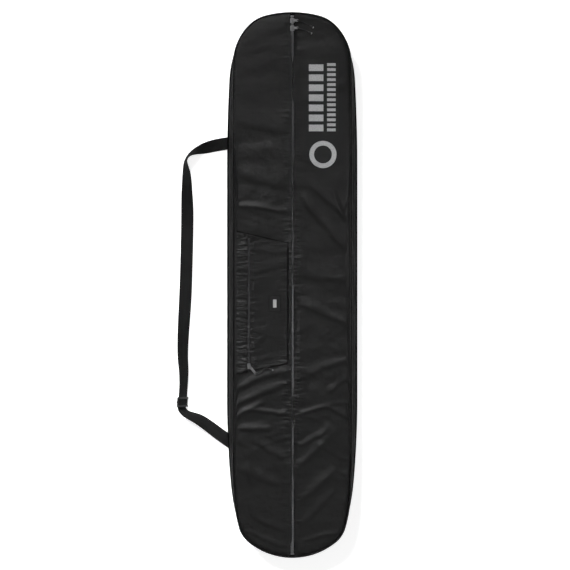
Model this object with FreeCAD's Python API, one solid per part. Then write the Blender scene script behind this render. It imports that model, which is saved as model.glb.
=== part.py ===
import FreeCAD, Part
import math
import os

# Padded bag for one snowboard, lying on its back on a flat floor.
# Millimetres. X to the right, Y towards the nose, Z up from the floor.
# The origin is on the floor under the middle of the bag.

V = FreeCAD.Vector

# ---- driving dimensions: the whole bag ----
BAG_LENGTH = 1650.0
BAG_WIDTH = 395.0
BAG_DEPTH = 74.0              # floor to the outer face of the front panel
SEAM_STEP_IN = 15.5           # the front seam runs this far inside the bag's widest line

# form of the two ends: tangent arcs from the tip outwards, each with a radius, as a ratio of the
# bag's half width, and an end angle in degrees; a shoulder arc then takes a share of the way that
# is left to the full width, up to the last angle, and a flank arc takes the rest
NOSE_RADIUS_RATIOS = (1.67, 0.557, 0.871)
NOSE_ANGLES = (14.0, 45.0, 70.0, 87.0)
NOSE_SHOULDER_RATIO = 0.735
TAIL_RADIUS_RATIOS = (1.073, 0.461)
TAIL_ANGLES = (38.0, 74.0, 85.0)
TAIL_SHOULDER_RATIO = 0.69

# ---- cloth, foam and seams ----
PANEL_T = 2.0                 # outer cloth
PAD_T = 8.0                   # foam
LINING_T = 1.0
WALL_T = 7.0                  # padded side wall
BINDING_W = 5.0               # bound edge round the back
BINDING_H = 5.0
PIPING_W = 6.0                # corded seam round the front
PIPING_H = 5.0
PIPING_PROUD = 1.0            # the cord stands this far above the front panel
PIPING_ROUND = 2.2            # rounding of the cord's two upper edges
PAD_SEAM_GAP = 10.0           # foam stops this far short of a front seam
BACK_PAD_ROOM = 4.0           # the back's foam stops this far short of the walls
PLY_GAP = 0.3                 # free space between loose layers
FOLD_GAP = 0.4                # free space where an opening flap meets the fixed ends

# ---- main zip, on the centre line ----
ZIP_END_MARGIN = 11.0         # from the bag's tip to the end stop
CHANNEL_HALF = 7.5            # half the gap between the two front panels
TAPE_HALF = 16.0
TAPE_T = 0.8
TAPE_GAP_HALF = 1.2
COIL_INNER = 0.8
COIL_WIDTH = 4.4
COIL_H = 3.0
STOP_LENGTH = 4.0

# ---- main sliders and their pullers ----
SLIDER_LENGTH = 17.0
SLIDER_CLEAR = 0.3
SLIDER_PLATE_T = 1.6
SLIDER_FLANGE_T = 1.0
SLIDER_PITCH = 23.0           # between the two sliders at rest
SLIDER_REST_GAP = 3.0         # from the upper slider to the nose stop
CROWN_WIRE_D = 2.4
CROWN_SPAN = 9.0
CROWN_LIFT = 3.0
EYE_D = 5.4
EYE_CLEAR = 0.2
EYE_LENGTH = 5.6
TAB_LENGTH = 19.0
TAB_WIDTH = 7.0
TAB_T = 1.5
TAB_HOLE_D = 4.0
PULLER_CORD_D = 2.6
PULLER_KNOT_D = 5.2
PULLER_TIP_D = 5.6
PULLER_TIP_LENGTH = 14.0
UPPER_PULLER_RUN = ((9.0, -2.0), (24.0, -7.7), (48.5, -22.0))    # steps from the pull's hole
LOWER_PULLER_RUN = ((9.0, -2.0), (24.0, -5.9), (43.5, -17.0))

# ---- pocket on the left front panel ----
POCKET_OUTER_X = -160.0
POCKET_INNER_X = -12.0
POCKET_TOP_OUTER_Y = 162.0
POCKET_TOP_INNER_Y = 127.0
POCKET_BOTTOM_OUTER_Y = -270.0
POCKET_BOTTOM_INNER_Y = -238.0
POCKET_RISE = 8.0             # pocket face above the front panel
POCKET_SKIN = 1.6
POCKET_RIM = 4.0
POCKET_ZIP_X = -131.0
POCKET_ZIP_TOP = 142.0
POCKET_ZIP_BOTTOM = -253.0
POCKET_CHANNEL_HALF = 5.6
POCKET_TAPE_HALF = 11.0
POCKET_COIL_WIDTH = 2.9
POCKET_COIL_H = 2.2
POCKET_SLIDER_LENGTH = 13.0
POCKET_TAB_LENGTH = 34.0
POCKET_TAB_HEADING = -50.0    # degrees from +X
POCKET_PULLER_RUN = ((12.0, 4.0), (26.0, 14.0), (40.0, 17.0), (53.0, 8.0))

# ---- label on the pocket ----
LABEL_X = -53.0
LABEL_Y = -56.0
LABEL_W = 37.0
LABEL_H = 51.0
LABEL_T = 1.2
LABEL_CORNER = 3.0

# ---- shoulder strap ----
STRAP_W = 38.0
STRAP_T = 2.0
STRAP_CLEAR = 0.4             # webbing inside the adjuster
ADJUSTER_W = 46.0
ADJUSTER_L = 30.0
ADJUSTER_RAIL_T = 4.0
ADJUSTER_BAR_T = 2.4
ADJUSTER_BAR_L = 5.0
ADJUSTER_X = -335.0
ADJUSTER_Y = -357.0
ADJUSTER_ROLL = 52.0          # the webbing stands on edge at this angle
ADJUSTER_HEADING = (-0.06, -1.0)
ADJUSTER_TRAVEL = 40.0

# route of the long webbing: x, y, roll in degrees, lift off the floor
LONG_ROUTE = (
    (-190.0, 434.0, 0.0, 0.0),
    (-228.0, 429.0, 8.0, 0.0),
    (-262.0, 420.0, 28.0, 0.0),
    (-291.0, 411.0, 60.0, 0.0),
    (-313.0, 400.0, 84.0, 0.0),
    (-325.0, 385.0, 88.0, 0.0),
    (-326.0, 367.0, 72.0, 0.0),
    (-323.0, 345.0, 55.0, 0.0),
    (-322.0, 317.0, 43.0, 0.0),
    (-322.0, 286.0, 34.0, 0.0),
    (-321.0, 241.0, 15.0, 0.0),
    (-321.0, 196.0, 2.0, 0.0),
    (-322.0, 137.0, 0.0, 0.0),
    (-324.0, 62.0, 0.0, 0.0),
    (-326.0, -15.0, 3.0, 0.0),
    (-330.0, -92.0, 16.0, 0.5),
    (-334.0, -160.0, 29.0, 1.0),
    (-335.0, -222.0, 38.0, 2.0),
    (-331.0, -262.0, 44.0, 4.0),
)
# route of the short webbing, from the adjuster back to the seam
SHORT_ROUTE = (
    (-332.0, -386.0, 57.0, 3.0),
    (-321.0, -396.0, 58.0, 1.0),
    (-304.0, -403.0, 48.0, 0.0),
    (-282.0, -413.0, 30.0, 0.0),
    (-256.0, -431.0, 20.0, 0.0),
    (-228.0, -453.0, 8.0, 0.0),
    (-185.0, -483.0, 0.0, 0.0),
)

# ---- sizes that follow from the ones above ----
TIP = BAG_LENGTH / 2
BACK_HALF = BAG_WIDTH / 2
FRONT_HALF = BACK_HALF - SEAM_STEP_IN
PANEL_BOTTOM = BAG_DEPTH - PANEL_T
PAD_TOP = PANEL_BOTTOM - PLY_GAP
FRONT_LINING_TOP = PAD_TOP - PAD_T - PLY_GAP
BACK_PAD_TOP = PANEL_T + PAD_T
PIPING_TOP = BAG_DEPTH + PIPING_PROUD
PIPING_BOTTOM = PIPING_TOP - PIPING_H
SEAM_INSET = PIPING_W + PLY_GAP
PAD_INSET = SEAM_INSET + PAD_SEAM_GAP
PAD_ZIP_HALF = TAPE_HALF + PAD_SEAM_GAP / 2
ZIP_END = TIP - ZIP_END_MARGIN
UPPER_SLIDER_Y = ZIP_END - STOP_LENGTH - SLIDER_REST_GAP - SLIDER_LENGTH / 2
LOWER_SLIDER_Y = UPPER_SLIDER_Y - SLIDER_PITCH
POCKET_FACE = BAG_DEPTH + POCKET_RISE
POCKET_SKIN_BOTTOM = POCKET_FACE - POCKET_SKIN
POCKET_SLIDER_Y = POCKET_ZIP_BOTTOM + STOP_LENGTH + POCKET_SLIDER_LENGTH / 2 + SLIDER_CLEAR
FAR = 2 * BAG_LENGTH

SIDES = {"left": -1, "right": 1}


def end_arcs(ratios, degrees, shoulder, half_width):
    """Arcs of one end, from its tip to the straight flank: (centre x, centre depth, radius, angles)."""
    result = []
    x, depth, angle = 0.0, 0.0, 0.0

    def add(radius, end_angle):
        nonlocal x, depth, angle
        cx = x - radius * math.sin(angle)
        cd = depth + radius * math.cos(angle)
        result.append((cx, cd, radius, angle, end_angle))
        x = cx + radius * math.sin(end_angle)
        depth = cd - radius * math.cos(end_angle)
        angle = end_angle

    for ratio, end_degrees in zip(ratios, degrees):
        add(ratio * BACK_HALF, math.radians(end_degrees))
    end_angle = math.radians(degrees[-1])
    add(shoulder * (half_width - x) / (math.sin(end_angle) - math.sin(angle)), end_angle)
    add((half_width - x) / (1 - math.sin(angle)), math.pi / 2)
    return result


def right_edge(half_width, inset):
    """Right half of the outline from nose tip to tail tip, as (start, middle, end) on each arc."""
    forms = (
        (1, NOSE_RADIUS_RATIOS, NOSE_ANGLES, NOSE_SHOULDER_RATIO),
        (-1, TAIL_RADIUS_RATIOS, TAIL_ANGLES, TAIL_SHOULDER_RATIO),
    )
    ends = []
    for sign, ratios, degrees, shoulder in forms:
        stretch = []
        for cx, cd, radius, start, end in end_arcs(ratios, degrees, shoulder, half_width):
            r = radius - inset
            angles = (start, (start + end) / 2, end)
            stretch.append([V(cx + r * math.sin(a), sign * (TIP - cd + r * math.cos(a)), 0) for a in angles])
        ends.append(stretch)
    nose, tail = ends
    flank = [[nose[-1][2], None, tail[-1][2]]]
    return nose + flank + [arc[::-1] for arc in reversed(tail)]


def outline(half_width, inset, z=0.0):
    """Closed wire round the bag, at a distance inside the outline of the given half width."""
    right = right_edge(half_width, inset)
    left = [[p and V(-p.x, p.y, 0) for p in reversed(arc)] for arc in reversed(right)]
    edges = []
    for start, middle, end in right + left:
        if middle is None:
            edges.append(Part.LineSegment(start, end).toShape())
        else:
            edges.append(Part.Arc(start, middle, end).toShape())
    wire = Part.Wire(edges)
    wire.translate(V(0, 0, z))
    return wire


def straight_flank(half_width):
    """Y of the nose end and the tail end of the straight stretch of the outline."""
    for start, middle, end in right_edge(half_width, 0.0):
        if middle is None:
            return start.y, end.y


def box(x0, x1, y0, y1, z0, z1):
    return Part.makeBox(x1 - x0, y1 - y0, z1 - z0, V(x0, y0, z0))


def along(axis, edge):
    """True for a straight edge that runs along the given axis."""
    a, b = (vertex.Point for vertex in edge.Vertexes[:2])
    return abs((b - a).normalize().dot(axis)) > 0.999


def rounded_box(x0, x1, y0, y1, z0, z1, radius, axis):
    """Box with its four edges along one axis rounded."""
    shape = box(x0, x1, y0, y1, z0, z1)
    return shape.makeFillet(radius, [e for e in shape.Edges if along(axis, e)])


def plate(half_width, inset, z0, z1):
    return Part.Face(outline(half_width, inset, z0)).extrude(V(0, 0, z1 - z0))


def ring(half_width, inset, width, z0, z1):
    return plate(half_width, inset, z0, z1).cut(plate(half_width, inset + width, z0 - 1, z1 + 1))


def write(node, shape):
    """One node, one closed solid."""
    if len(shape.Solids) != 1 or not shape.isValid():
        raise ValueError(f"{node}: {len(shape.Solids)} solids, valid {shape.isValid()}")
    shape.Solids[0].exportStep(f"parts/{node}.step")
    print(f"{node:28s} {shape.Volume / 1000:10.2f} cm3")


# ---- fixed shell: back, walls, bound edge and corded seam ----
def make_back():
    write("back_binding", ring(BACK_HALF, 0, BINDING_W, 0, BINDING_H))
    write("back_panel", plate(BACK_HALF, BINDING_W, 0, PANEL_T))
    inset = max(BINDING_W, WALL_T) + BACK_PAD_ROOM
    write("back_padding", plate(BACK_HALF, inset, PANEL_T, BACK_PAD_TOP))
    write("back_lining", plate(BACK_HALF, inset, BACK_PAD_TOP, BACK_PAD_TOP + LINING_T))


def wall_body(inset):
    """Solid between the back seam and the front seam, its sides leaning in."""
    bottom = outline(BACK_HALF, inset, BINDING_H)
    top = outline(FRONT_HALF, inset, PIPING_BOTTOM)
    return Part.makeLoft([bottom, top], True, True)


def make_walls(nose_fold, tail_fold):
    shell = wall_body(0.0).cut(wall_body(WALL_T))
    for side, sign in SIDES.items():
        x0, x1 = sorted((0, sign * FAR))
        write(f"side_wall_{side}", shell.common(box(x0, x1, tail_fold, nose_fold, -FAR, FAR)))
    write("nose_wall", shell.common(box(-FAR, FAR, nose_fold, FAR, -FAR, FAR)))
    write("tail_wall", shell.common(box(-FAR, FAR, -FAR, tail_fold, -FAR, FAR)))
    piping = ring(FRONT_HALF, 0, PIPING_W, PIPING_BOTTOM, PIPING_TOP)
    upper_edges = [e for e in piping.Edges if e.BoundBox.ZMin > PIPING_TOP - PIPING_ROUND]
    write("front_piping", piping.makeFillet(PIPING_ROUND, upper_edges))


# ---- front: two flaps that open, and the four corners that stay sewn ----
def zones(nose_fold, tail_fold):
    """Y range of each stretch of the front; the name is empty for the flaps."""
    return {
        "nose_": (nose_fold + FOLD_GAP / 2, FAR),
        "": (tail_fold + FOLD_GAP / 2, nose_fold - FOLD_GAP / 2),
        "tail_": (-FAR, tail_fold - FOLD_GAP / 2),
    }


def front_piece(shape, sign, zip_half, y_range):
    x0, x1 = sorted((sign * zip_half, sign * FAR))
    return shape.common(box(x0, x1, y_range[0], y_range[1], -FAR, FAR))


def make_front(front_zones):
    lining_bottom = FRONT_LINING_TOP - LINING_T
    panel = plate(FRONT_HALF, SEAM_INSET, PANEL_BOTTOM, BAG_DEPTH)
    padding = plate(FRONT_HALF, PAD_INSET, PAD_TOP - PAD_T, PAD_TOP)
    lining = plate(FRONT_HALF, PAD_INSET, lining_bottom, FRONT_LINING_TOP)
    for zone, y_range in front_zones.items():
        for side, sign in SIDES.items():
            write(f"front_panel_{zone}{side}", front_piece(panel, sign, CHANNEL_HALF, y_range))
            write(f"front_padding_{zone}{side}", front_piece(padding, sign, PAD_ZIP_HALF, y_range))
            if not zone:
                write(f"front_lining_{side}", front_piece(lining, sign, PAD_ZIP_HALF, y_range))


def zip_tape(x, sign, y0, y1, half, top):
    x0, x1 = sorted((x + sign * TAPE_GAP_HALF, x + sign * half))
    return box(x0, x1, y0, y1, top - TAPE_T, top)


def zip_coil(x, sign, y0, y1, width, height, base):
    x0, x1 = sorted((x + sign * COIL_INNER, x + sign * (COIL_INNER + width)))
    return rounded_box(x0, x1, y0, y1, base, base + height, 0.3 * height, V(0, 1, 0))


def zip_stop(x, y0, half, height, base):
    shape = box(x - half, x + half, y0, y0 + STOP_LENGTH, base, base + height)
    return shape.makeFillet(0.25 * height, [e for e in shape.Edges if along(V(0, 0, 1), e)])


def make_main_zip(front_zones):
    tape_end = TIP - SEAM_INSET - PLY_GAP
    coil_end = ZIP_END - STOP_LENGTH
    for zone, (low, high) in front_zones.items():
        for side, sign in SIDES.items():
            tape = zip_tape(0, sign, max(low, -tape_end), min(high, tape_end), TAPE_HALF, PANEL_BOTTOM)
            y0, y1 = max(low, -coil_end), min(high, coil_end)
            coil = zip_coil(0, sign, y0, y1, COIL_WIDTH, COIL_H, PANEL_BOTTOM)
            write(f"main_zip_tape_{zone}{side}", tape)
            write(f"main_zip_coil_{zone}{side}", coil)
    half = COIL_INNER + COIL_WIDTH
    write("main_zip_nose_stop", zip_stop(0, coil_end, half, COIL_H, PANEL_BOTTOM))
    write("main_zip_tail_stop", zip_stop(0, -ZIP_END, half, COIL_H, PANEL_BOTTOM))


# ---- sliders, pulls and pullers ----
def slider(x, y, length, coil_width, coil_h, tape_top):
    """Two plates joined by a divider that runs between the coils, with a wire crown on top."""
    half = COIL_INNER + coil_width + SLIDER_CLEAR + SLIDER_FLANGE_T
    top = tape_top + coil_h + SLIDER_CLEAR
    bottom = tape_top - TAPE_T - SLIDER_CLEAR
    divider = COIL_INNER - SLIDER_CLEAR
    y0, y1 = -length / 2, length / 2
    corner = 0.3 * length
    upper = rounded_box(-half, half, y0, y1, top, top + SLIDER_PLATE_T, corner * 0.8, V(0, 0, 1))
    lower = rounded_box(-half, half, y0, y1, bottom - SLIDER_PLATE_T, bottom, corner * 0.8, V(0, 0, 1))
    shape = upper.fuse(lower)
    shape = shape.fuse(box(-divider, divider, y0 + corner, y1 - corner, bottom - 0.5, top + 0.5))
    for sign in SIDES.values():
        x0, x1 = sorted((sign * half, sign * (half - SLIDER_FLANGE_T)))
        flange_bottom = tape_top + SLIDER_CLEAR
        shape = shape.fuse(box(x0, x1, y0 + corner, y1 - corner, flange_bottom, top + 0.5))
    return shape.fuse(crown(top + SLIDER_PLATE_T)).removeSplitter().translated(V(x, y, 0))


def crown(base):
    """Wire bridge along Y that the pull's eye turns on."""
    r = CROWN_WIRE_D / 2
    height = base + CROWN_LIFT
    reach = CROWN_SPAN / 2
    bar = Part.makeCylinder(r, CROWN_SPAN, V(0, -reach, height), V(0, 1, 0))
    for sign in (-1, 1):
        leg = Part.makeCylinder(r, CROWN_LIFT + 0.5, V(0, sign * reach, base - 0.5), V(0, 0, 1))
        elbow = Part.makeSphere(r, V(0, sign * reach, height))
        bar = bar.fuse(leg).fuse(elbow)
    return bar


def crown_height(coil_h, tape_top):
    return tape_top + coil_h + SLIDER_CLEAR + SLIDER_PLATE_T + CROWN_LIFT


def pull(x, y, z, length, heading):
    """Flat tab whose rolled eye turns on the crown; heading is its direction in degrees from +X."""
    bore = CROWN_WIRE_D / 2 + EYE_CLEAR
    eye = Part.makeCylinder(EYE_D / 2, EYE_LENGTH, V(0, -EYE_LENGTH / 2, 0), V(0, 1, 0))
    half_w, half_t = TAB_WIDTH / 2, TAB_T / 2
    tab = rounded_box(0, length, -half_w, half_w, -half_t, half_t, 0.9 * half_w, V(0, 0, 1))
    hole = Part.makeCylinder(TAB_HOLE_D / 2, EYE_D, V(length - half_w, 0, -EYE_D / 2))
    tab = tab.cut(hole)
    tab.rotate(V(0, 0, 0), V(0, 0, 1), heading)
    neck = box(-FAR, FAR, -EYE_LENGTH / 2, EYE_LENGTH / 2, -FAR, FAR)
    near_eye = tab.common(Part.makeCylinder(TAB_WIDTH * 0.9, EYE_D, V(0, 0, -EYE_D / 2)))
    tab = tab.cut(near_eye).fuse(near_eye.common(neck))
    shape = eye.fuse(tab)
    shape = shape.cut(Part.makeCylinder(bore, FAR, V(0, -FAR / 2, 0), V(0, 1, 0)))
    return shape.removeSplitter().translated(V(x, y, z))


def rod(points, radius):
    """Round bar through the points, with round elbows."""
    pieces = []
    for start, end in zip(points, points[1:]):
        run = end - start
        pieces.append(Part.makeCylinder(radius, run.Length, start, run))
        pieces.append(Part.makeSphere(radius, end))
    return Part.makeSphere(radius, points[0]).multiFuse(pieces)


def puller(hole, steps, rest_z):
    """Cord from a knot on the pull's hole, down and along its steps to a moulded tip."""
    cord_r = PULLER_CORD_D / 2
    tip_r = PULLER_TIP_D / 2
    lie = rest_z + tip_r
    knot = hole + V(0, 0, TAB_T / 2 + PLY_GAP + PULLER_KNOT_D / 2)
    below = hole - V(0, 0, TAB_T / 2 + cord_r + PLY_GAP)
    points = [knot, below] + [V(hole.x + dx, hole.y + dy, lie) for dx, dy in steps]
    shape = rod(points, cord_r).fuse(Part.makeSphere(PULLER_KNOT_D / 2, knot))
    last = points[-1]
    direction = (last - points[-2]).normalize()
    start = last - direction * (PULLER_TIP_LENGTH - tip_r)
    tip = Part.makeCylinder(tip_r, PULLER_TIP_LENGTH - tip_r, start, direction)
    return shape.fuse(tip).fuse(Part.makeSphere(tip_r, last)).removeSplitter()


def make_main_sliders():
    z = crown_height(COIL_H, PANEL_BOTTOM)
    rest_z = PIPING_TOP + PLY_GAP
    reach = TAB_LENGTH - TAB_WIDTH / 2
    places = (("upper", UPPER_SLIDER_Y, UPPER_PULLER_RUN), ("lower", LOWER_SLIDER_Y, LOWER_PULLER_RUN))
    for name, y, steps in places:
        write(f"main_slider_{name}", slider(0, y, SLIDER_LENGTH, COIL_WIDTH, COIL_H, PANEL_BOTTOM))
        write(f"main_pull_{name}", pull(0, y, z, TAB_LENGTH, 0))
        write(f"main_puller_{name}", puller(V(reach, y, z), steps, rest_z))


# ---- pocket ----
def pocket_outline(inset, z):
    """Wire of the pocket's outline, drawn in by a distance on every side."""
    corners = (
        (POCKET_OUTER_X + inset, POCKET_TOP_OUTER_Y - inset),
        (POCKET_INNER_X - inset, POCKET_TOP_INNER_Y - inset),
        (POCKET_INNER_X - inset, POCKET_BOTTOM_INNER_Y + inset),
        (POCKET_OUTER_X + inset, POCKET_BOTTOM_OUTER_Y + inset),
    )
    points = [V(px, py, z) for px, py in corners]
    return Part.makePolygon(points + points[:1])


def make_pocket():
    face = Part.Face(pocket_outline(0, BAG_DEPTH)).extrude(V(0, 0, POCKET_RISE))
    inside_h = POCKET_RISE - POCKET_SKIN
    space = Part.Face(pocket_outline(POCKET_RIM, BAG_DEPTH)).extrude(V(0, 0, inside_h))
    half = POCKET_CHANNEL_HALF
    slit = box(POCKET_ZIP_X - half, POCKET_ZIP_X + half, POCKET_ZIP_BOTTOM, POCKET_ZIP_TOP, BAG_DEPTH, FAR)
    write("pocket_panel", face.cut(space).cut(slit))
    base = POCKET_SKIN_BOTTOM
    coil_low = POCKET_ZIP_BOTTOM + STOP_LENGTH
    for side, sign in SIDES.items():
        tape = zip_tape(POCKET_ZIP_X, sign, POCKET_ZIP_BOTTOM, POCKET_ZIP_TOP, POCKET_TAPE_HALF, base)
        coil = zip_coil(POCKET_ZIP_X, sign, coil_low, POCKET_ZIP_TOP, POCKET_COIL_WIDTH, POCKET_COIL_H, base)
        write(f"pocket_zip_tape_{side}", tape)
        write(f"pocket_zip_coil_{side}", coil)
    stop = zip_stop(POCKET_ZIP_X, POCKET_ZIP_BOTTOM, COIL_INNER + POCKET_COIL_WIDTH, POCKET_COIL_H, base)
    write("pocket_zip_stop", stop)
    x, y = POCKET_ZIP_X, POCKET_SLIDER_Y
    z = crown_height(POCKET_COIL_H, base)
    write("pocket_slider", slider(x, y, POCKET_SLIDER_LENGTH, POCKET_COIL_WIDTH, POCKET_COIL_H, base))
    write("pocket_pull", pull(x, y, z, POCKET_TAB_LENGTH, POCKET_TAB_HEADING))
    heading = math.radians(POCKET_TAB_HEADING)
    reach = POCKET_TAB_LENGTH - TAB_WIDTH / 2
    hole = V(x + reach * math.cos(heading), y + reach * math.sin(heading), z)
    write("pocket_puller", puller(hole, POCKET_PULLER_RUN, POCKET_FACE + LABEL_T + PLY_GAP))


def make_label():
    x0, x1 = LABEL_X - LABEL_W / 2, LABEL_X + LABEL_W / 2
    y0, y1 = LABEL_Y - LABEL_H / 2, LABEL_Y + LABEL_H / 2
    top = POCKET_FACE + LABEL_T
    write("label_patch", rounded_box(x0, x1, y0, y1, POCKET_FACE, top, LABEL_CORNER, V(0, 0, 1)))


# ---- shoulder strap ----
def web_frame(run, roll):
    """Unit vectors across the webbing and out of its face, for a run direction and a roll."""
    level = V(0, 0, 1).cross(run).normalize()
    up = run.cross(level).normalize()
    c, s = math.cos(math.radians(roll)), math.sin(math.radians(roll))
    return level * c - up * s, up * c + level * s


def web_height(roll, lift):
    """Height of the centre line where one edge of the webbing rests at the lift."""
    angle = math.radians(roll)
    return STRAP_W / 2 * abs(math.sin(angle)) + STRAP_T / 2 * abs(math.cos(angle)) + lift


def web_section(centre, run, roll):
    """Closed loop of the webbing's four corners at one station."""
    across, out = web_frame(run, roll)
    a, n = across * (STRAP_W / 2), out * (STRAP_T / 2)
    corners = [centre + a + n, centre - a + n, centre - a - n, centre + a - n]
    return corners + corners[:1]


def line(start, end):
    return Part.LineSegment(start, end).toShape()


def webbing(route):
    """Ribbon of webbing through the stations of a route, turning about its run as they say."""
    centres = [V(x, y, web_height(roll, lift)) for x, y, roll, lift in route]
    last = len(route) - 1
    sections = []
    for i, (station, centre) in enumerate(zip(route, centres)):
        run = (centres[min(i + 1, last)] - centres[max(i - 1, 0)]).normalize()
        sections.append(web_section(centre, run, station[2]))
    faces = [Part.Face(Part.makePolygon(section)) for section in (sections[0], sections[-1])]
    for near, far in zip(sections, sections[1:]):
        for k in range(4):
            faces.append(Part.makeRuledSurface(line(near[k], near[k + 1]), line(far[k], far[k + 1])))
    shell = Part.Shell(faces)
    shell.sewShape()
    solid = Part.Solid(shell)
    return solid if solid.Volume > 0 else solid.reversed()


def adjuster_centre():
    angle = math.radians(ADJUSTER_ROLL)
    half_thick = ADJUSTER_BAR_T + STRAP_T / 2 + STRAP_CLEAR
    z = ADJUSTER_W / 2 * math.sin(angle) + half_thick * math.cos(angle) + PLY_GAP
    return V(ADJUSTER_X, ADJUSTER_Y, z)


def make_adjuster():
    """Frame with three bars: the webbing passes under the outer two and over the middle one."""
    inside = STRAP_W / 2 + STRAP_CLEAR
    half_w, half_l, rail = ADJUSTER_W / 2, ADJUSTER_L / 2, ADJUSTER_RAIL_T / 2
    near = STRAP_T / 2 + STRAP_CLEAR
    shape = None
    for sign in (-1, 1):
        x0, x1 = sorted((sign * inside, sign * half_w))
        side = rounded_box(x0, x1, -half_l, half_l, -rail, rail, 1.2, V(0, 1, 0))
        shape = side if shape is None else shape.fuse(side)
    for y, direction in ((-half_l, 1), (-ADJUSTER_BAR_L / 2, -1), (half_l - ADJUSTER_BAR_L, 1)):
        z0, z1 = sorted((direction * near, direction * (near + ADJUSTER_BAR_T)))
        shape = shape.fuse(rounded_box(-half_w, half_w, y, y + ADJUSTER_BAR_L, z0, z1, 0.8, V(1, 0, 0)))
    run = V(ADJUSTER_HEADING[0], ADJUSTER_HEADING[1], 0).normalize()
    across, out = web_frame(run, ADJUSTER_ROLL)
    centre = adjuster_centre()
    side = across * -1
    placed = FreeCAD.Matrix(
        side.x, run.x, out.x, centre.x,
        side.y, run.y, out.y, centre.y,
        side.z, run.z, out.z, centre.z,
        0, 0, 0, 1,
    )
    write("strap_adjuster", shape.removeSplitter().transformGeometry(placed))
    print("adjuster centre", centre, "run", run)


def make_strap():
    """Long webbing, straight where the adjuster slides, and the short webbing back to the seam."""
    run = V(ADJUSTER_HEADING[0], ADJUSTER_HEADING[1], 0).normalize()
    centre = adjuster_centre()
    lift = centre.z - web_height(ADJUSTER_ROLL, 0)
    top = centre - run * (ADJUSTER_TRAVEL + ADJUSTER_L / 2 + 3)
    end = centre + run * (ADJUSTER_L / 2 - ADJUSTER_BAR_L)
    straight = [(p.x, p.y, ADJUSTER_ROLL, lift) for p in (top, centre, end)]
    start = centre + run * (ADJUSTER_L / 2 + STRAP_CLEAR)
    after = start + run * ADJUSTER_BAR_L
    first = [(p.x, p.y, ADJUSTER_ROLL, lift) for p in (start, after)]
    bag = plate(BACK_HALF, -PLY_GAP, -STRAP_T, BAG_DEPTH)
    write("shoulder_strap_long", webbing(list(LONG_ROUTE) + straight).cut(bag))
    write("shoulder_strap_short", webbing(first + list(SHORT_ROUTE)).cut(bag))


def main():
    os.makedirs("parts", exist_ok=True)
    nose_fold, tail_fold = straight_flank(FRONT_HALF)
    front_zones = zones(nose_fold, tail_fold)
    print(f"folds at y {nose_fold:.1f} and {tail_fold:.1f}")
    make_back()
    make_walls(nose_fold, tail_fold)
    make_front(front_zones)
    make_main_zip(front_zones)
    make_main_sliders()
    make_pocket()
    make_label()
    make_adjuster()
    make_strap()


main()
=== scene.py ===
# %% [markdown]
# # A padded snowboard bag
# This lesson dresses a long soft bag that lies on its back. The construction is already there as
# solids: walls, foam, zips, sliders and a strap, each on its own moving body. Here every visible
# surface gets its cloth, seams, folds and finish. The solids set all the sizes, so a piece is
# placed by reading where its solid is, and never by eye.

# %% Load the construction
import math

import bmesh
import bpy
import numpy as np
from mathutils import Matrix, Vector, noise
from mathutils.bvhtree import BVHTree


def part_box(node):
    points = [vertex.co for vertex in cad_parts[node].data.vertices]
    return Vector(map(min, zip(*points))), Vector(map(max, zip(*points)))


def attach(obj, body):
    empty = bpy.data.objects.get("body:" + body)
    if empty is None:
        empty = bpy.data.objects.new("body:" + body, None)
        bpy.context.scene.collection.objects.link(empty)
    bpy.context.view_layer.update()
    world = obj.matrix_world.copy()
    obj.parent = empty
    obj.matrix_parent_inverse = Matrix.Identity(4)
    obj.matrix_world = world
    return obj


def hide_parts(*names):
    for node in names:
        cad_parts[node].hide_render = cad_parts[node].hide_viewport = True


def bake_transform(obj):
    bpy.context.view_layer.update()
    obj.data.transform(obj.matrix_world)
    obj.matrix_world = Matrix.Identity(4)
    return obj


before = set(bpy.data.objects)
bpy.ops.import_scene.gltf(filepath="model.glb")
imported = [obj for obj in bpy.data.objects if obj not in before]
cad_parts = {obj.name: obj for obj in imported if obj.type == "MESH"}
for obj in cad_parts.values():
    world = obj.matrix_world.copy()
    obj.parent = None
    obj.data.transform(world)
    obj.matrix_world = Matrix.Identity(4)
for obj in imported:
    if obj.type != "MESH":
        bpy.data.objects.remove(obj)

scene = bpy.context.scene
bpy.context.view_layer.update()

# %% [markdown]
# ## Sizes that everything shares
# The outer line of a bag like this is a run of arcs that meet smoothly: flat at the tip, tight at
# the corner, then long and slow into the straight side. Writing it as arcs keeps it smooth at any
# resolution, and one function can then give the line of the back seam, the front seam or any
# line inside them.

# %% The bag's levels and widths
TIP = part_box("back_binding")[1][1]
BACK_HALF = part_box("back_binding")[1][0]
FRONT_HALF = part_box("front_piping")[1][0]
FRONT_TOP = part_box("front_panel_left")[1][2]
LINING_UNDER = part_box("front_lining_left")[0][2]
FLAP_NOSE_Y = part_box("front_panel_left")[1][1]
FLAP_TAIL_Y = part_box("front_panel_left")[0][1]
MM = 0.001
print(f"bag {2 * TIP:.3f} m long, {2 * BACK_HALF:.3f} m wide, front at {FRONT_TOP:.3f} m")

# %% The outline as tangent arcs
NOSE_FORM = ((1.67, 0.557, 0.871), (14, 45, 70, 87), 0.735)
TAIL_FORM = ((1.073, 0.461), (38, 74, 85), 0.69)


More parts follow.
